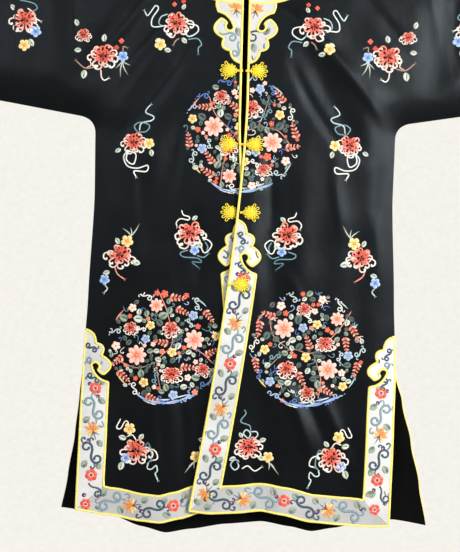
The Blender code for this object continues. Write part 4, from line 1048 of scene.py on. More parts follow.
def medallion(st, x, s, radius, seed):
    """A round of mixed flowers, hanging blossom, leaves and clouds in the builder's own layout."""
    rng = np.random.default_rng(seed)
    whole = Spot(x, s, radians(MEDALLION_TURNS[seed % 3]), 1.0)
    taken = []
    for kind, px, py, size, *more in MEDALLION:
        turn = radians(more[0]) if kind in ("sprig", "cloud") else 0.0
        spot = whole.at(px * radius, py * radius, turn)
        taken.append((px, py, size * (1.0 if kind != "sprig" else 0.75)))
        size *= radius
        if kind == "bloom":
            bloom(st, Spot(spot.x, spot.s), size / 1.10, seed + len(taken))
        elif kind == "peony":
            peony(st, spot, size)
        elif kind == "small":
            floret(st, spot, size, 5, *more, "gold", 0.2)
        elif kind == "sprig":
            sprig(st, spot, size * 0.95)
        else:
            scroll(st, spot, size * 1.9, more[1], half=0.0013)
    for path in MEDALLION_STEMS:
        line = smooth(whole(np.array(path) * radius), 0.004)
        st.stroke(line, 0.0010, "cord", "taupe", "rose", lift=-LAYER)
    for first, last, away, half, start, end in RIM:
        a = np.radians(np.linspace(first, last, 14))
        wavy = (away + 0.012 * np.cos(7.0 * a))[:, None]
        line = smooth(Spot(x, s)(np.stack((np.cos(a), np.sin(a)), axis=1) * radius * wavy), 0.003)
        st.stroke(line, half * radius, "taper", start, end, rim=end, lift=2 * LAYER)
    for _ in range(FILLER_TRIES):
        a, r = rng.uniform(0.0, 2.0 * pi), 0.965 * rng.uniform(0.0, 1.0) ** 0.5
        px, py = r * cos(a), r * sin(a)
        gap = min(hypot(px - tx, py - ty) - size for tx, ty, size in taken)
        size = min(gap + 0.004, 0.985 - r + 0.02, rng.uniform(0.045, 0.080))
        if size < 0.030:
            continue
        spot = whole.at(px * radius, py * radius, rng.uniform(0.0, 2.0 * pi))
        kind = rng.integers(0, 10)
        length = size * radius * 2.1
        if kind < 6:
            light, dark = FILLER_LEAVES[rng.integers(0, 4)]
            leaf(st, spot.at(-length / 2.0, 0.0), length, dark, light, 0.40)
        elif kind < 8:
            floret(st, spot, size * radius * 0.95, 5, *FILLER_FLORETS[rng.integers(0, 4)], "gold")
        else:
            hooklet(st, spot.at(-length / 2.0, 0.0), length, FILLER_HOOKS[rng.integers(0, 4)], half=0.0010)
        taken.append((px, py, size * 0.95))


# The collar's ends and the lower corners of the bands, by side: kind, photo step, size in mm, turn, tone
LAPPET_MOTIFS = {
    1: (
        ("maple", 256.0, 10.0, 20, -75, ""), ("scroll", 258.0, 34.5, 62, 190, "ink"),
        ("leaf", 254.0, 48.0, 19, 84, "olive"), ("hook", 252.0, 55.0, 13, 60, "ink"),
        ("leaf", 267.0, 31.0, 19, -42, "olive"), ("hook", 264.5, 43.0, 13, 80, "slate"),
    ),
    -1: (
        ("maple", 236.0, 9.0, 20, -105, ""), ("leaf", 238.5, 32.0, 19, 66, "olive"),
        ("scroll", 228.0, 36.0, 50, -20, "steel"), ("scroll", 236.5, 49.0, 44, 70, "steel"),
        ("hook", 223.0, 25.0, 15, 20, "slate"),
    ),
}
CORNER_MOTIFS = {
    1: (
        ("poppy", 374.0, 509.0, 11.5, 0, ""), ("scroll", 383.0, 494.0, 50, 100, "slate"),
        ("berry", 384.5, 503.0, 4.4, 0, ""), ("leaf", 372.0, 494.0, 17, 120, "olive"),
        ("leaf", 362.5, 508.5, 15, 200, "olive"),
    ),
    -1: (
        ("poppy", 86.0, 503.5, 11.5, 0, ""), ("scroll", 95.0, 489.5, 50, 10, "slate"),
        ("berry", 84.5, 494.5, 4.6, 0, ""), ("leaf", 99.0, 507.0, 15, 20, "olive"),
    ),
}

# A cloud head's own: distance from its tip, step aside, kind, size in mm, turn, tone
HEAD_MOTIFS = (
    (0.036, -0.60, "scroll", 30, 20, "slate"), (0.066, -0.30, "scroll", 36, 20, "steel"),
    (0.060, 0.95, "hook", 18, 60, "slate"), (0.096, -0.20, "scroll", 32, 20, "slate"),
    (0.108, -0.55, "berry", 4.2, 0, ""), (0.110, 0.45, "leaf", 12, 70, "olive"),
)

# The bands: millimetres along, share of the half width across, kind, size in mm, turn, tone
BAND_UNIT = (
    (0, 0.06, "poppy", 13.0, 0, ""), (19, -0.6, "leaf", 17, 150, "olive"),
    (17, 0.6, "leaf", 16, 24, "olive"), (42, 0.0, "scroll", 60, -12, "slate"),
    (60, -0.66, "hook", 14, 200, "slate"), (62, 0.6, "leaf", 16, 40, "olive"),
    (66, -0.3, "berry", 4.6, 0, ""), (87, 0.02, "maple", 20.5, 205, ""),
    (107, -0.62, "leaf", 17, 130, "olive"), (106, 0.7, "hook", 13, 10, "steel"),
    (129, 0.0, "scroll", 60, -12, "steel"), (146, 0.6, "leaf", 17, 60, "olive"),
    (152, -0.62, "hook", 14, -30, "steel"), (154, 0.3, "berry", 4.2, 0, ""),
)
BAND_PERIOD = 0.172

# The motifs' run on the front, hem and slit bands: start, distance left at the end, phases by side
BAND_RUNS = (
    (0.100, 0.014, {1: 0.118, -1: 0.020}), (0.034, 0.034, {1: 0.018, -1: 0.023}),
    (0.058, 0.098, {1: 0.092, -1: 0.074}),
)


# How a motif is drawn on the bands, in the cloud heads and alone: a leaf's width and how far it is
# set back, half widths of spiral and hook, where the spiral starts, and its hand
BAND_STYLE = (0.36, 0.4, 0.0026, 0.0021, -1.0, 1.0)
HEAD_STYLE = (0.44, 0.0, 0.0021, 0.0019, -1.0, 1.0)
LONE_STYLE = (0.32, 0.5, 0.0021, 0.0018, -0.35, -1.0)


def motif(st, spot, kind, size, shade, side, style):
    """One motif of the trim, drawn in one of the three styles above."""
    wide, back, spiral, hook, first, hand = style
    if kind == "poppy":
        poppy(st, spot, size)
    elif kind == "maple":
        maple(st, spot, size)
    elif kind == "berry":
        berry(st, spot, size)
    elif kind == "leaf":
        leaf(st, spot.at(-size * back, 0.0), size, shade, "sage", wide)
    elif kind == "scroll":
        scroll(st, spot, size, shade, side * hand, spiral, first)
    else:
        hooklet(st, spot, size, shade, side, hook)


def band_motifs(st, line, start, end, phase, mirror):
    """Motifs in turn along the middle line of a band, from start to end of its run."""
    line, marks = evenly(line, ROUTE_STEP)
    way = -normals_of(line)[:, ::-1] * (1.0, -1.0)
    distance = phase - BAND_PERIOD
    while distance < end:
        for mm, across, kind, size, turn, shade in BAND_UNIT:
            here = distance + mm * MM
            size *= MM
            room = {"scroll": 0.013, "maple": 0.012, "poppy": 0.008}.get(kind, 0.0)
            if not start + room < here < end - room:
                continue
            k = int(np.argmin(np.abs(marks - here)))
            dx, dy = way[k]
            offset = across * 0.5 * (BAND_WIDTH - 2 * PIPING_WIDTH) * mirror
            x, s = line[k][0] - dy * offset, line[k][1] + dx * offset
            spot = Spot(x, s, np.arctan2(dy, dx) + radians(turn) * mirror)
            motif(st, spot, kind, size, shade, mirror, BAND_STYLE)
        distance += BAND_PERIOD


# The pattern of a front

def front_stations(side):
    """The trimmed edge of a front, down its opening, along the hem and up its slit, and the corners."""
    hem_rows = FRONT_LEFT_HEM if side > 0 else FRONT_RIGHT_HEM
    neck_x = front_edge_x(0.0, side)
    neck = NECK_FRONT * (1.0 - (neck_x / NECK_HALF) ** 2) ** 0.5
    foot = float(read_table(hem_rows, front_edge_x(1.18, side), 1))
    drops = split(neck, LAPPET_TIP) + split(LAPPET_TIP, FRONT_HEAD_TIP) + split(FRONT_HEAD_TIP, foot)
    edge = [(float(front_edge_x(d, side)), d) for d in drops + [foot]]
    outer_x = side * half_width(1.19, side)
    outer = float(read_table(hem_rows, outer_x, 1))
    across = split(edge[-1][0], outer_x)[1:]
    hem = [(x, float(read_table(hem_rows, x, 1))) for x in across] + [(outer_x, outer)]
    up = split(outer, SLIT_TOP)[1:] + split(SLIT_TOP, SLIT_HEAD_TIP) + [SLIT_HEAD_TIP]
    slit = [(side * half_width(d, side), d) for d in up]
    corners = (len(edge) - 1, len(edge) + len(hem) - 1)
    return [(x, d + DROP_TO_S) for x, d in edge + hem + slit], corners


def nearest(line, point):
    return int(np.argmin([hypot(x - point[0], y - point[1]) for x, y in line]))


def neck_curve(side, grow, count=26):
    a, b = NECK_HALF + grow, NECK_FRONT + DROP_TO_S + grow
    start = front_edge_x(0.0, side) * side
    if grow:
        start -= 0.004
    first = acos(min(max(start / a, -1.0), 1.0))
    turns = [first * (1.0 - i / count) for i in range(count + 1)]
    return [(side * a * cos(t), b * sin(t)) for t in turns]


def collar_point(angle, shrink, front):
    a = COLLAR_HALF - shrink
    b = (COLLAR_FRONT if front else COLLAR_BACK) + DROP_TO_S - shrink
    power = 2.0 / COLLAR_POWER
    return a * max(cos(angle), 0.0) ** power, b * max(sin(angle), 0.0) ** power


def collar_curve(side, shrink):
    b = COLLAR_FRONT + DROP_TO_S - shrink
    line = [(side * -0.016, b), (side * 0.020, b)]
    for degrees in np.linspace(74.0, 3.0, 30):
        x, s = collar_point(radians(degrees), shrink, True)
        line.append((side * x, s))
    return line + [(side * (COLLAR_HALF - shrink), 0.0)]


def back_neck_curve(grow, count=36):
    a, b = NECK_HALF + grow, NECK_BACK + DROP_TO_S + grow
    return [(a * cos(pi * i / count), -b * sin(pi * i / count)) for i in range(count + 1)]


def back_collar_curve(shrink):
    line = [(COLLAR_HALF - shrink, 0.0)]
    for degrees in np.linspace(3.0, 84.0, 30):
        x, s = collar_point(radians(degrees), shrink, False)
        line.append((x, -s))
    return line + [(-x, s) for x, s in reversed(line)]


def front_pattern(side):
    """The outline of a front, the lines of its trim, and the areas that the trim covers."""
    path, (foot, heel) = front_stations(side)
    turn = -1.0 * side
    tip = nearest(path[:foot], (path[0][0], FRONT_HEAD_TIP + DROP_TO_S))
    lappet = nearest(path[:foot], (path[0][0], LAPPET_TIP + DROP_TO_S))
    head = cloud_outline()
    shoulder = head[-1][1]
    edge = path[tip:]
    run = [0.0]
    for a, b in zip(edge, edge[1:]):
        run.append(run[-1] + hypot(b[0] - a[0], b[1] - a[1]))
    corners = (foot - tip, heel - tip)

    def band_line(width):
        kept = []
        for i, point in enumerate(inset(edge, width * turn)):
            past_heads = shoulder + 0.004 < run[i] < run[-1] - shoulder - 0.004
            turning = min(abs(run[i] - run[c]) for c in corners) < width * 1.12
            if past_heads and (i in corners or not turning):
                kept.append(point)
        return kept

    def trim_line(width, outline):
        start = on_edge(outline, edge, turn)
        end = on_edge(outline, path[::-1], -turn)
        return start + band_line(width) + end[::-1]

    def head_within(width, r, q):
        line = tidy_inset(head, width)
        return [(width * r, width * q)] + line[1:-1] + [(BAND_WIDTH - width, shoulder + width)]

    heads = ((0.0, head), (PIPING_WIDTH, head_within(PIPING_WIDTH, 0.5, 1.2)),
             (PIPING_HALF, head_within(PIPING_HALF, 0.6, 0.6)))
    band_out, band_in, band_middle = [trim_line(BAND_WIDTH - width, line) for width, line in heads]
    up = path[: lappet + 1][::-1]

    def lappet_line(width, outline):
        tall = outline[:-1] + [(width, outline[-1][1] + 0.010), (width, 0.145)]
        return stepped(on_edge(tall, up, -turn))

    lappet_out, lappet_in, lappet_middle = [lappet_line(BAND_WIDTH - width, line) for width, line in heads]
    sleeve_low = sleeve_drop(SLEEVE_JOIN_X) + DROP_TO_S
    sleeve = [(side * SLEEVE_JOIN_X, 0.0), (side * SLEEVE_JOIN_X, sleeve_low)]
    under = [(side * x, d + DROP_TO_S) for x, d in [(UNDERARM_X, SLEEVE_DROP_IN)] + underarm(side)]
    seam = [(side * half_width(d, side), d + DROP_TO_S) for d in split(SIDE[0][0], SLIT_HEAD_TIP)[1:]]
    neck = neck_curve(side, 0.0)
    low_seam = stepped([sleeve[1], under[0]])
    ridge = stepped([(side * NECK_HALF, 0.0), (side * SLEEVE_JOIN_X, 0.0)])
    outline = path + seam[::-1] + under[::-1] + low_seam[::-1][1:] + stepped(sleeve)[::-1][1:]
    outline += ridge[::-1][1:] + neck[1:-1][::-1]
    edge_in = inset(path, PIPING_WIDTH * turn)
    collar_out, collar_in = collar_curve(side, 0.0), collar_curve(side, PIPING_WIDTH)
    lines = [edge_in, neck_curve(side, PIPING_WIDTH), collar_out, collar_in, lappet_out, lappet_in]
    lines += [band_out, band_in]
    for corner in (foot, heel):
        lines.append(stepped([path[corner], band_out[nearest(band_out, path[corner])]], 0.012))
    past, side_end = (side * -0.03, -0.001), (side * COLLAR_HALF, -0.001)
    shapes = {
        "edge": path + edge_in[::-1],
        "neck": neck_curve(side, PIPING_WIDTH) + [past, (past[0], neck[0][1])],
        "collar_out": collar_out + [side_end, past, (past[0], collar_out[0][1])],
        "collar_in": collar_in + [side_end, past, (past[0], collar_in[0][1])],
        "lappet_out": lappet_out + [up[-1]] + up[::-1],
        "lappet_in": lappet_in + [up[-1]] + up[::-1],
        "band_out": band_out + edge[::-1],
        "band_in": band_in + edge[::-1],
        "foot": (path[foot], band_out[nearest(band_out, path[foot])]),
        "heel": (path[heel], band_out[nearest(band_out, path[heel])]),
    }
    routes = {
        "edge": inset(path, PIPING_HALF * turn),
        "border": band_middle,
        "lappet": lappet_middle,
        "band": [inset(part, 0.5 * BAND_WIDTH * turn)
                 for part in (path[tip : foot + 1], path[foot : heel + 1], path[heel:])],
    }
    return [tuple(p) for p in outline], lines, shapes, routes


def beside(corner, x, y):
    (x0, y0), (x1, y1) = corner
    return (x1 - x0) * (y - y0) - (y1 - y0) * (x - x0) > 0.0


def name_cells(x, y, shapes, side):
    """For each cell of a front, the trim piece that covers it, or an empty name."""
    names = np.full(len(x), "", dtype="U16")
    band, band_in = inside(x, y, shapes["band_out"]), inside(x, y, shapes["band_in"])
    near = np.abs(x - shapes["foot"][0][0]) < np.abs(x - shapes["heel"][0][0])
    front = near & (beside(shapes["foot"], x, y) != (side > 0))
    slit = ~near & (beside(shapes["heel"], x, y) == (side > 0))
    names[band] = "hem_border"
    names[band & front] = "front_border"
    names[band & slit] = "slit_border"
    names[band & ~band_in] = "border_piping"
    lappet = inside(x, y, shapes["lappet_out"])
    names[lappet] = "lappet_piping"
    names[lappet & inside(x, y, shapes["lappet_in"])] = "lappet"
    collar = inside(x, y, shapes["collar_out"])
    names[collar] = "collar_piping"
    names[collar & inside(x, y, shapes["collar_in"])] = "collar"
    names[inside(x, y, shapes["neck"])] = "neck_piping"
    names[inside(x, y, shapes["edge"])] = "edge_piping"
    return names


# Materials

def shader_of(name):
    made = bpy.data.materials.new(name)
    made.use_nodes = True
    tree = made.node_tree
    return made, tree, tree.nodes["Principled BSDF"]


def feed(tree, target, values):
    """Give a node its inputs: the output of another node is linked, anything else is a constant."""
    for key, value in values.items():
        if isinstance(value, bpy.types.NodeSocket):
            tree.links.new(value, target.inputs[key])
        else:
            target.inputs[key].default_value = value


def node(tree, kind, values, **settings):
    made = tree.nodes.new(kind)
    for key, value in settings.items():
        setattr(made, key, value)
    feed(tree, made, values)
    return made


def scaled(tree, source, scale, turn=0.0):
    """The pattern's own coordinates, in metres, stretched by scale."""
    values = {"Vector": source, "Scale": scale, "Rotation": (0.0, 0.0, turn)}
    return node(tree, "ShaderNodeMapping", values).outputs["Vector"]


def pattern_uv(tree):
    return node(tree, "ShaderNodeUVMap", {}, uv_map="pattern").outputs["UV"]


def place_of(tree):
    return node(tree, "ShaderNodeTexCoord", {}).outputs["Object"]


def noise(tree, vector, scale, detail=3.0, rough=0.55):
    values = {"Vector": vector, "Scale": scale, "Detail": detail, "Roughness": rough}
    return node(tree, "ShaderNodeTexNoise", values).outputs["Fac"]


def wave(tree, vector, scale, distortion, direction="X"):
    values = {"Vector": vector, "Scale": scale, "Distortion": distortion}
    return node(tree, "ShaderNodeTexWave", values, bands_direction=direction).outputs["Fac"]


def ramp(tree, source, stops):
    made = node(tree, "ShaderNodeValToRGB", {"Fac": source})
    for stop, (position, colour) in zip(made.color_ramp.elements, (stops[0], stops[-1])):
        stop.position, stop.color = position, (*colour, 1.0)
    for position, colour in stops[1:-1]:
        made.color_ramp.elements.new(position).color = (*colour, 1.0)
    return made.outputs["Color"]


def ranged(tree, source, low, high):
    values = {"Value": source, "To Min": low, "To Max": high}
    return node(tree, "ShaderNodeMapRange", values).outputs["Result"]


def darkened(tree, colour, pattern, deep, share):
    """A colour multiplied, by a share, with tones that run from deep to white over a pattern: painted shade
    in the pattern's grooves.
    """
    tones = ramp(tree, pattern, ((0.0, deep), (1.0, (1.0, 1.0, 1.0))))
    values = {"Factor": share, "A": colour, "B": tones}
    return node(tree, "ShaderNodeMix", values, data_type="RGBA", blend_type="MULTIPLY").outputs["Result"]


def bumped(tree, shader, heights):
    """Bumps laid one over another: each a height source, its distance in metres and its strength."""
    last = {}
    for source, distance, strength in heights:
        values = {"Height": source, "Distance": distance, "Strength": strength, **last}
        last = {"Normal": node(tree, "ShaderNodeBump", values).outputs["Normal"]}
    feed(tree, shader, last)


def satin(name, dark, light, rough, sheen, tint, specular):
    made, tree, shader = shader_of(name)
    uv = pattern_uv(tree)
    colour = ramp(tree, noise(tree, uv, 9.0, 4.0), ((0.30, dark), (0.70, light)))
    uneven = ranged(tree, noise(tree, uv, 26.0, 3.0), rough - 0.05, rough + 0.07)
    feed(tree, shader, {"Base Color": colour, "Roughness": uneven})
    shader.inputs["Sheen Weight"].default_value = sheen
    shader.inputs["Sheen Roughness"].default_value = 0.40
    shader.inputs["Sheen Tint"].default_value = (*tint, 1.0)
    shader.inputs["Specular IOR Level"].default_value = specular
    shader.inputs["Specular Tint"].default_value = (*tint, 1.0)
    crease = noise(tree, scaled(tree, uv, (1.0, 0.55, 1.0), 0.35), 34.0, 4.0, 0.6)
    warp = wave(tree, uv, 900.0, 0.6)
    weft = wave(tree, uv, 520.0, 0.8, "Y")
    bumped(tree, shader, ((crease, 0.0022, 0.30), (warp, 0.00008, 0.35), (weft, 0.00006, 0.20)))
    return made


def threads(name):
    """Satin stitch: fine threads across each stroke, in the stroke's own tone, with painted shade between the
    threads.
    """
    made, tree, shader = shader_of(name)
    uv = pattern_uv(tree)
    tint = node(tree, "ShaderNodeAttribute", {}, attribute_name="tone").outputs["Color"]
    stitch = wave(tree, uv, 700.0, 0.5)
    # Painted shade: the thread tone darkens in the grooves between stitches, on the same waves as the bump.
    colour = darkened(tree, tint, stitch, (0.62, 0.62, 0.62), 0.35)
    uneven = ranged(tree, noise(tree, uv, 300.0, 2.0), 0.36, 0.50)
    feed(tree, shader, {"Base Color": colour, "Roughness": uneven})
    shader.inputs["Sheen Weight"].default_value = 0.12
    shader.inputs["Sheen Roughness"].default_value = 0.45
    bumped(tree, shader, ((stitch, 0.00014, 0.55), (noise(tree, uv, 420.0, 2.0), 0.0001, 0.25)))
    return made


def twisted(name, dark, light, pitch, rough):
    """Rolled cloth or cord with a slanting twist, and painted shade in the twist's grooves."""
    made, tree, shader = shader_of(name)
    uv = pattern_uv(tree)
    twist = wave(tree, scaled(tree, uv, (1.0, 1.0, 1.0), 0.75), pitch, 0.4)
    patches = noise(tree, uv, 160.0, 3.0)
    base = ramp(tree, patches, ((0.25, dark), (0.70, light)))
    # Painted shade: the colour darkens in the twist's grooves, on the same waves as the bump.
    colour = darkened(tree, base, twist, (0.66, 0.60, 0.50), 0.30)
    uneven = ranged(tree, patches, rough - 0.05, rough + 0.08)
    feed(tree, shader, {"Base Color": colour, "Roughness": uneven})
    shader.inputs["Sheen Weight"].default_value = 0.15
    bumped(tree, shader, ((twist, 0.00022, 0.5),))
    return made


def wood():
    made, tree, shader = shader_of("rod_wood")
    grain = scaled(tree, place_of(tree), (0.06, 1.0, 1.0))
    rings = noise(tree, grain, 190.0, 5.0, 0.65)
    browns = ((0.30, (0.16, 0.075, 0.030)), (0.52, (0.33, 0.175, 0.075)), (0.75, (0.47, 0.28, 0.13)))
    colour = ramp(tree, rings, browns)
    feed(tree, shader, {"Base Color": colour, "Roughness": ranged(tree, rings, 0.34, 0.52)})
    shader.inputs["Coat Weight"].default_value = 0.25
    shader.inputs["Coat Roughness"].default_value = 0.25
    bumped(tree, shader, ((rings, 0.0003, 0.30),))
    return made


def metal():
    made, tree, shader = shader_of("hook_steel")
    brushed = noise(tree, scaled(tree, place_of(tree), (1.0, 1.0, 0.15)), 900.0, 3.0)
    greys = ramp(tree, brushed, ((0.3, (0.24, 0.24, 0.25)), (0.7, (0.36, 0.36, 0.38))))
    feed(tree, shader, {"Base Color": greys, "Roughness": ranged(tree, brushed, 0.22, 0.38)})
    shader.inputs["Metallic"].default_value = 1.0
    bumped(tree, shader, ((brushed, 0.00008, 0.3),))
    return made


SATIN = satin(
    "black_satin", (0.0006, 0.0008, 0.0012), (0.0014, 0.0017, 0.0025), 0.32, 0.0015, (0.78, 0.90, 1.0), 0.155)
LINING = satin(
    "black_lining", (0.0010, 0.0011, 0.0013), (0.0020, 0.0021, 0.0024), 0.60, 0.003, (0.8, 0.8, 0.9), 0.07)
# One white satin in three brightnesses for how the lamps fall: brightest on the front and slit bands (painted
# light), dimmer on the lappets and collar, darkest on the hem (painted shade).
WHITE = satin("white_satin", (0.42, 0.42, 0.415), (0.57, 0.57, 0.565), 0.40, 0.05, (1.0, 1.0, 1.0), 0.50)
THREAD = threads("silk_thread")
BAND_SATIN_LIT = satin(
    "white_band_satin_painted_light", (0.49, 0.49, 0.485), (0.66, 0.66, 0.655), 0.40, 0.05, (1.0, 1.0, 1.0), 0.50)
HEM_SATIN_SHADED = satin(
    "white_hem_satin_painted_shade", (0.33, 0.33, 0.33), (0.50, 0.50, 0.50), 0.42, 0.04, (1.0, 1.0, 1.0), 0.45)
PIPING = twisted("yellow_piping", (0.84, 0.64, 0.070), (0.95, 0.84, 0.24), 420.0, 0.46)
CORD = twisted("yellow_cord", (0.90, 0.64, 0.012), (0.98, 0.82, 0.035), 620.0, 0.48)


# The cloth


def build_front(side, label, shared):
    """One front with its bands, pipings and stitching. It gives back the stitching on its sleeve."""
    over = side > 0
    outline, lines, shapes, routes = front_pattern(side)
    places, faces = triangulate(outline, lines)
    centre = places[faces].mean(axis=1)
    names = name_cells(centre[:, 0], centre[:, 1], shapes, side)
    panel = shell(f"cloth_front_{label}", places, faces, -WALL, 0.0, [SATIN, LINING], over, SEAM / 2.0)
    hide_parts(f"front_{label}")
    for name in ("lappet", "front_border", "hem_border", "slit_border"):
        cells = faces[names == name]
        # The same white satin, lighter on the bands and darker on the lappets and hem: painted light and
        # shade.
        white = {"lappet": WHITE, "hem_border": HEM_SATIN_SHADED}.get(name, BAND_SATIN_LIT)
        made = shell(f"trim_{name}_{label}", places, cells, -0.0001, BORDER_TOP, [white], over, SEAM / 2.0)
        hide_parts(f"{name}_{label}")
    shared.setdefault("collar", []).append((places, faces[names == "collar"]))
    for name in ("edge", "border", "lappet"):
        made = piping(f"piping_{name}_{label}", routes[name], over, name == "edge")
        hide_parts(f"{name}_piping_{label}")

    def within(name, x, s):
        return inside(x, s, shapes[name])

    def bare(x, s):
        inner = side * (x - front_edge_x(np.abs(s) - DROP_TO_S, side)) > PIPING_WIDTH + 0.0005
        trim = within("band_out", x, s) | within("lappet_out", x, s) | within("collar_out", x, s)
        return inner & ~trim & (np.abs(x) < SLEEVE_JOIN_X - JOIN_MARGIN)

    def beyond(x, s):
        return np.abs(x) > SLEEVE_JOIN_X + JOIN_MARGIN

    flowers, outer, rounds, trim = Stitches(), Stitches(), Stitches(), Stitches()
    for i, (name, px, py, place) in enumerate(PLACES):
        if place == side:
            for st in (flowers, outer) if name == "cuff" else (flowers,):
                spray(st, name, Spot(*from_photo(px, py), mirror=-side), 3 * i + 1)
    discs = []
    for i, (px, py, radius, sides) in enumerate(ROUNDELS):
        if side in sides:
            discs.append((*from_photo(px, py), radius * PIXEL))
            medallion(rounds, *discs[-1], i + 1)

    def in_disc(x, s):
        near = [np.hypot(x - at_x, s - at_s) < radius for at_x, at_s, radius in discs]
        return bare(x, s) & np.any(near, axis=0)

    made = rounds.build(f"stitching_rounds_{label}", over, in_disc)
    made = flowers.build(f"stitching_front_{label}", over, bare)
    tail = outer.build(f"stitching_sleeve_{label}", over, beyond)
    for route, (start, short, phases) in zip(routes["band"], BAND_RUNS):
        end = evenly(route, ROUTE_STEP)[1][-1] - short
        band_motifs(trim, route, start, end, phases[side], side)
    front, _, slit = routes["band"]
    head_motifs(trim, front, 1.0, side)
    head_motifs(trim, slit[::-1], -1.0, side)
    placed_motifs(trim, LAPPET_MOTIFS[side] + CORNER_MOTIFS[side], side)

    def on_trim(x, s):
        on_lappet = within("lappet_in", x, s) & ~within("collar_out", x, s)
        return (within("band_in", x, s) | on_lappet) & ~within("edge", x, s)

    made = trim.build(f"stitching_trim_{label}", over, on_trim, BORDER_TOP)
    return tail


def head_motifs(st, route, turn, side):
    """The cloud head's own scrolls, berry and leaf, beside its hook."""
    line, marks = evenly(route, 0.002)
    for at, across, kind, size, angle, shade in HEAD_MOTIFS:
        k = int(np.argmin(np.abs(marks - at)))
        spot = Spot(line[k][0] + side * turn * across * 0.020, line[k][1], radians(angle * turn))
        motif(st, spot, kind, size * MM, shade, turn * side, HEAD_STYLE)


def placed_motifs(st, rows, side):
    """Single motifs where the photo has them: maple leaves, spirals, leaves, flowers and berries."""
    for kind, px, py, size, angle, shade in rows:
        spot = Spot(*from_photo(px, py), radians(angle))
        motif(st, spot, kind, size * MM, shade, side, LONE_STYLE)


def build_back(shared):
    """The back, plain, with piping on its slits and hem."""
    def edge(side, top, low):
        return [(side * half_width(d, side, BACK_SIDE), -d - DROP_TO_S) for d in split(top, low)]

    hem_left = float(read_table(BACK_HEM, half_width(1.19, 1, BACK_SIDE), 1))
    hem_right = float(read_table(BACK_HEM, -half_width(1.17, -1, BACK_SIDE), 1))
    left_x = half_width(hem_left, 1, BACK_SIDE)
    right_x = -half_width(hem_right, -1, BACK_SIDE)
    hem = [(x, -float(read_table(BACK_HEM, x, 1)) - DROP_TO_S) for x in split(left_x, right_x)]
    hem.append((right_x, -hem_right - DROP_TO_S))
    slit_left, slit_right = edge(1, SLIT_TOP, hem_left), edge(-1, SLIT_TOP, hem_right)
    trimmed = slit_left + hem + slit_right[::-1]

    def sleeve(side):
        low = sleeve_drop(SLEEVE_JOIN_X)
        line = stepped([(SLEEVE_JOIN_X, 0.0), (SLEEVE_JOIN_X, low), (UNDERARM_X, SLEEVE_DROP_IN)])
        line = [(x, -s if s == 0.0 else -s - DROP_TO_S) for x, s in line + underarm(side)]
        return [(side * x, s) for x, s in line]

    left = sleeve(1) + edge(1, SIDE[0][0], SLIT_TOP)[1:]
    right = sleeve(-1) + edge(-1, SIDE[0][0], SLIT_TOP)[1:]
    ridge = stepped([(NECK_HALF, 0.0), (SLEEVE_JOIN_X, 0.0)])
    neck = back_neck_curve(0.0)
    outline = left + trimmed + right[::-1]
    outline += [(-x, 0.0) for x, _ in ridge[::-1]][1:] + neck[::-1][1:] + ridge[1:-1]
    collar_out, collar_in = back_collar_curve(0.0), back_collar_curve(PIPING_WIDTH)
    neck_in = back_neck_curve(PIPING_WIDTH)
    places, faces = triangulate(outline, [neck_in, collar_out, collar_in])
    panel = shell("cloth_back", places, faces, -WALL, 0.0, [SATIN, LINING], False, SEAM / 2.0)
    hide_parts("back")
    centre = places[faces].mean(axis=1)
    ring = inside(centre[:, 0], centre[:, 1], collar_in) & ~inside(centre[:, 0], centre[:, 1], neck_in)
    shared["collar"].append((places, faces[ring]))
    proud, flush = inset(trimmed, -0.25 * PIPING_HALF), inset(trimmed, -1.0 * PIPING_HALF)
    made = piping("piping_back", (proud[: len(slit_left) - 2] + flush[len(slit_left) :])[::-1])
    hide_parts("back_piping")


def all_round(front, back, width):
    """A closed way round the neck: left front, back, right front."""
    return front(1, width) + back(width)[1:-1] + front(-1, width)[::-1]


def build_collar(shared):
    """The ring round the neck, in one piece over the ridge, and its two pipings."""
    starts = np.cumsum([0] + [len(places) for places, _ in shared["collar"]])
    faces = np.vstack([cells + start for (_, cells), start in zip(shared["collar"], starts)])
    places = np.vstack([places for places, _ in shared["collar"]])
    _, first, index = np.unique(np.round(places, 5), axis=0, return_index=True, return_inverse=True)
    places, faces = places[first], index.ravel()[faces]
    collar = shell("trim_collar", places, faces, -0.0001, BORDER_TOP, [WHITE])
    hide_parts("collar")

    def outer_half(side, grow):
        line = [p for p in collar_curve(side, grow) if side * p[0] > 0.018]
        return [(float(front_edge_x(0.15, side)) + side * 0.0006, line[0][1])] + line

    def inner_half(side, grow):
        return neck_curve(side, grow)[2:]

    around = piping("piping_collar", all_round(outer_half, back_collar_curve, PIPING_HALF))
    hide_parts("collar_piping")
    inner = piping("piping_neck", all_round(inner_half, back_neck_curve, PIPING_HALF)[::-1], binding=True)
    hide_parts("neck_piping")
    trim = Stitches()
    quarters = ((66.0, 2.0, True, 1), (2.0, 90.0, False, 1), (88.0, 2.0, False, -1), (2.0, 66.0, True, -1))
    route = np.array([ring_point(a, front, side) for first, last, front, side in quarters
                      for a in np.linspace(first, last, 24)])
    band_motifs(trim, route, 0.0, evenly(route, ROUTE_STEP)[1][-1], 0.020, 1.0)
    past = front_edge_x(0.1, 1) + PIPING_WIDTH
    outside = all_round(collar_curve, back_collar_curve, PIPING_WIDTH)
    opening = all_round(neck_curve, back_neck_curve, PIPING_WIDTH)

    def on_ring(x, s):
        return inside(x, s, outside) & ~inside(x, s, opening) & ((np.abs(x) > past + 0.008) | (s < 0.0))

    flowers = trim.build("stitching_collar", False, on_ring, BORDER_TOP)


def ring_point(degrees, front, side):
    """A place on the middle line of the collar ring."""
    a = radians(degrees)
    down = 0.5 * (COLLAR_FRONT + NECK_FRONT) if front else 0.5 * (COLLAR_BACK + NECK_BACK)
    x = 0.5 * (COLLAR_HALF + NECK_HALF) * cos(a) ** 0.8
    return side * x, (down + DROP_TO_S) * sin(a) ** 0.8 * (1.0 if front else -1.0)


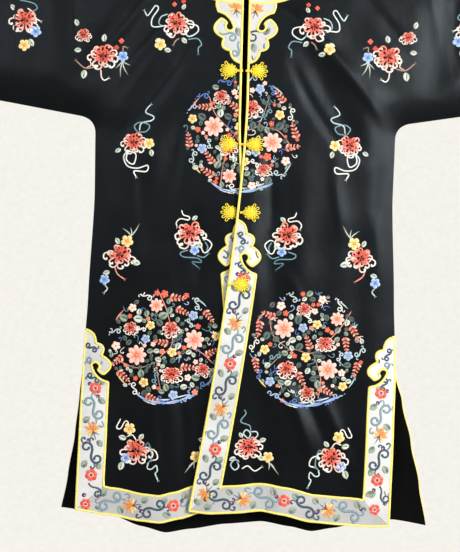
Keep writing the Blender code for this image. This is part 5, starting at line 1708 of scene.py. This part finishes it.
def build_sleeve(side, label):
    """The outer length of a sleeve, from its seam to its cuff, and the cuff's piping."""
    low_in = sleeve_drop(SLEEVE_JOIN_X) + DROP_TO_S
    low_out = sleeve_drop(CUFF_X) + DROP_TO_S
    corners = [(SLEEVE_JOIN_X, low_in), (SLEEVE_JOIN_X, 0.0), (SLEEVE_JOIN_X, -low_in)]
    corners += [(CUFF_X, -low_out), (CUFF_X, 0.0), (CUFF_X, low_out)]
    corners = [(side * x, s) for x, s in corners]
    places, faces = triangulate(stepped(corners + corners[:1])[:-1], [])
    made = shell(f"cloth_sleeve_{label}", places, faces, -WALL, 0.0, [SATIN, LINING], False, SEAM / 2.0)
    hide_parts(f"sleeve_{label}")
    cuff_x = side * (CUFF_X - PIPING_HALF)
    cuff = stepped([(cuff_x, -low_out + 0.001), (cuff_x, low_out - 0.001)])
    ring = piping(f"piping_cuff_{label}", cuff, binding=True)
    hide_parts(f"cuff_piping_{label}")


# Toggles of looped cord

def tube(path, radius, first, sides=7):
    """Points, faces and lengthwise coordinates of a round cord with closed ends."""
    path, marks = evenly(path, CORD_STEP)
    way = ways_of(path)
    across = np.cross(way, np.tile((0.0, 1.0, 0.0), (len(path), 1)))
    across /= np.maximum(np.linalg.norm(across, axis=1, keepdims=True), 1e-6)
    up = np.cross(across, way)
    points, uv = [], []
    for k in range(sides):
        a = 2.0 * pi * k / sides
        points.append(path + radius * (across * cos(a) + up * sin(a)))
        uv.append(np.stack((marks, np.full(len(marks), radius * a)), axis=1))
    return np.vstack(points), tube_faces(sides, len(path), first, True), np.vstack(uv)


def loop_path(angle, near, far, half, base, rise):
    """A long narrow loop of cord that leaves the middle and comes back."""
    path = []
    for t in np.linspace(0.0, 1.0, 17):
        r = near + (far - near) * sin(pi * t) ** 0.8
        q = -half * sin(2.0 * pi * (t - 0.5)) * (0.45 + 0.55 * sin(pi * t))
        path.append((r, q, base + rise * sin(pi * t)))
    path = np.array(path)
    return np.column_stack((turned(path[:, :2], angle), path[:, 2]))


def build_frog(name, x, drop, side, end_x):
    """A fan of looped cord with its strap and its knot or ring, standing where its solid does."""
    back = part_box(name)[1][1] - 0.0001
    radius = CORD_RADIUS
    parts = []
    for count, start, turn, near, far, half, base, rise in (
        (5, -60, 30, 0.0045, 0.0200, 0.0027, radius, 0.0001),
        (12, -165, 30, 0.0020, 0.0132, 0.0018, radius * 2.0, -radius * 0.9),
        (8, -157, 45, 0.0006, 0.0094, 0.0019, radius * 3.4, -radius * 0.6),
    ):
        parts += [loop_path(radians(start + turn * i), near, far, half, base, rise) for i in range(count)]
    turns = np.linspace(0.0, 2.0 * pi, 13)
    parts.append(np.array([(0.0022 * cos(a), 0.0022 * sin(a), radius * 4.4) for a in turns]))
    reach = abs(x - end_x)
    if reach > 0.014:
        for q in (-0.0011, 0.0011):
            strap = ((-0.008, q, radius * 2.0), (-0.5 * (0.008 + reach), q, radius),
                     (-reach + 0.0028, q * 1.2, radius * 1.2))
            parts.append(smooth(np.array(strap), STROKE_STEP))
        turns = np.linspace(0.0, 2.0 * pi, 15)
        if side > 0:
            for tilt in (0.0, 1.05, 2.1):
                ring = [(-reach + 0.0026 + 0.0021 * cos(a) * cos(tilt), 0.0021 * cos(a) * sin(tilt),
                         radius * 1.9 + 0.0015 * sin(a)) for a in turns]
                parts.append(np.array(ring))
        else:
            ring = [(-reach + 0.0032 + 0.0028 * cos(a), 0.0026 * sin(a), radius * 1.3) for a in turns]
            parts.append(np.array(ring))
    points, faces, uv, first = [], [], [], 0
    z = ROD_Z - (drop + DROP_TO_S - QUARTER)
    for part in parts:
        place = np.column_stack((x + side * part[:, 0], back - part[:, 2], z - part[:, 1]))
        p, f, u = tube(place, radius, first)
        points.append(p)
        uv.append(u)
        faces += f
        first += len(p)
    made = make(f"cord_{name}", np.vstack(points), faces, [CORD], np.vstack(uv))
    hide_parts(name)


# The stage, the lamps and the camera

def build_stage():
    """A pale floor far below that curves up into a pale wall all round, glowing more behind the coat than in
    front of it: painted light.
    """
    profile = [(4.0, 0.0)]
    profile += [(4.0 + 4.0 * sin(a), 4.0 - 4.0 * cos(a)) for a in np.linspace(0.12, pi / 2.0, 14)]
    profile += [(8.0, 6.0), (8.0, 9.0)]
    around = 64
    floor_z = -3.2
    points = [(r * cos(2 * pi * k / around), r * sin(2 * pi * k / around), floor_z + h)
              for r, h in profile for k in range(around)]
    points.append((0.0, 0.0, floor_z))
    faces = []
    for j in range(len(profile) - 1):
        for k in range(around):
            a, b = j * around + k, j * around + (k + 1) % around
            faces.append((a, a + around, b + around, b))
    faces += [(len(points) - 1, k, (k + 1) % around) for k in range(around)]
    made, tree, shader = shader_of("pale_wall")
    place = place_of(tree)
    creams = ((0.3, (0.93, 0.905, 0.850)), (0.7, (1.0, 0.975, 0.920)))
    shader.inputs["Base Color"].default_value = (0.22, 0.215, 0.205, 1.0)
    shader.inputs["Roughness"].default_value = 1.0
    shader.inputs["Specular IOR Level"].default_value = 0.0
    # Painted light: the wall and floor glow, brighter behind the coat and dimmer towards the camera's side.
    depth = node(tree, "ShaderNodeSeparateXYZ", {"Vector": place}).outputs["Y"]
    values = {"Value": depth, "From Min": -3.0, "From Max": 3.0, "To Min": 0.42, "To Max": 0.775}
    glow = node(tree, "ShaderNodeMapRange", values, interpolation_type="SMOOTHSTEP").outputs["Result"]
    speckle = ramp(tree, noise(tree, place, 22.0, 4.0), creams)
    feed(tree, shader, {"Emission Color": speckle, "Emission Strength": glow})
    mesh = bpy.data.meshes.new("floor")
    mesh.from_pydata(points, [], faces)
    mesh.shade_smooth()
    mesh.materials.append(made)
    floor = bpy.data.objects.new("floor", mesh)
    bpy.context.scene.collection.objects.link(floor)


def lamp(name, place, aim, size, power, colour):
    data = bpy.data.lights.new(name, "AREA")
    data.shape = "RECTANGLE"
    data.size, data.size_y = size
    data.energy = power
    data.color = colour
    obj = bpy.data.objects.new(name, data)
    obj.location = place
    obj.rotation_euler = (Vector(aim) - Vector(place)).to_track_quat("-Z", "Y").to_euler()
    bpy.context.scene.collection.objects.link(obj)


def build_light():
    world = bpy.data.worlds.new("studio")
    world.use_nodes = True
    world.node_tree.nodes["Background"].inputs["Color"].default_value = (1.0, 0.985, 0.96, 1.0)
    world.node_tree.nodes["Background"].inputs["Strength"].default_value = 0.32
    bpy.context.scene.world = world
    middle = (0.0, 0.0, -0.72)
    lamp("key", (2.30, -2.47, 0.20), middle, (1.0, 1.0), 158.0, (1.0, 0.99, 0.97))
    lamp("front", (-1.9, -3.1, 0.6), middle, (1.2, 1.2), 38.0, (0.96, 0.98, 1.0))
    lamp("back", (1.2, 3.2, 1.0), middle, (2.0, 1.6), 120.0, (1.0, 0.98, 0.96))
    lamp("back_side", (-2.6, 2.4, 0.2), middle, (1.6, 1.6), 50.0, (0.96, 0.98, 1.0))


def build_camera():
    """Square on to the coat, as near as the photo shows it, rolled as its picture is."""
    data = bpy.data.cameras.new("camera")
    data.sensor_width = FILM
    data.lens = FILM * CAMERA_AWAY / (PHOTO_SIZE[1] * PIXEL)
    data.clip_end = 60.0
    camera = bpy.data.objects.new("camera", data)
    x, s = from_photo(PHOTO_SIZE[0] / 2.0, PHOTO_SIZE[1] / 2.0)
    camera.location = (x, -CAMERA_AWAY - FRONT_PLANE, ROD_Z - (s - QUARTER))
    camera.rotation_euler = (pi / 2.0, -atan(PHOTO_TILT), 0.0)
    bpy.context.scene.collection.objects.link(camera)
    bpy.context.scene.camera = camera


def main():
    shared = {}
    tails = {side: build_front(side, label, shared) for side, label in SIDES}
    build_back(shared)
    build_collar(shared)
    for side, label in SIDES:
        build_sleeve(side, label)
    for row in FROGS:
        build_frog(*row)
    for node_name, material in (("hanger_rod", wood()), ("hanger_hook", metal())):
        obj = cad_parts[node_name]
        obj.data.materials.clear()
        obj.data.materials.append(material)
    build_stage()
    build_light()
    build_camera()
    bpy.context.scene.view_settings.view_transform = "Standard"


main()
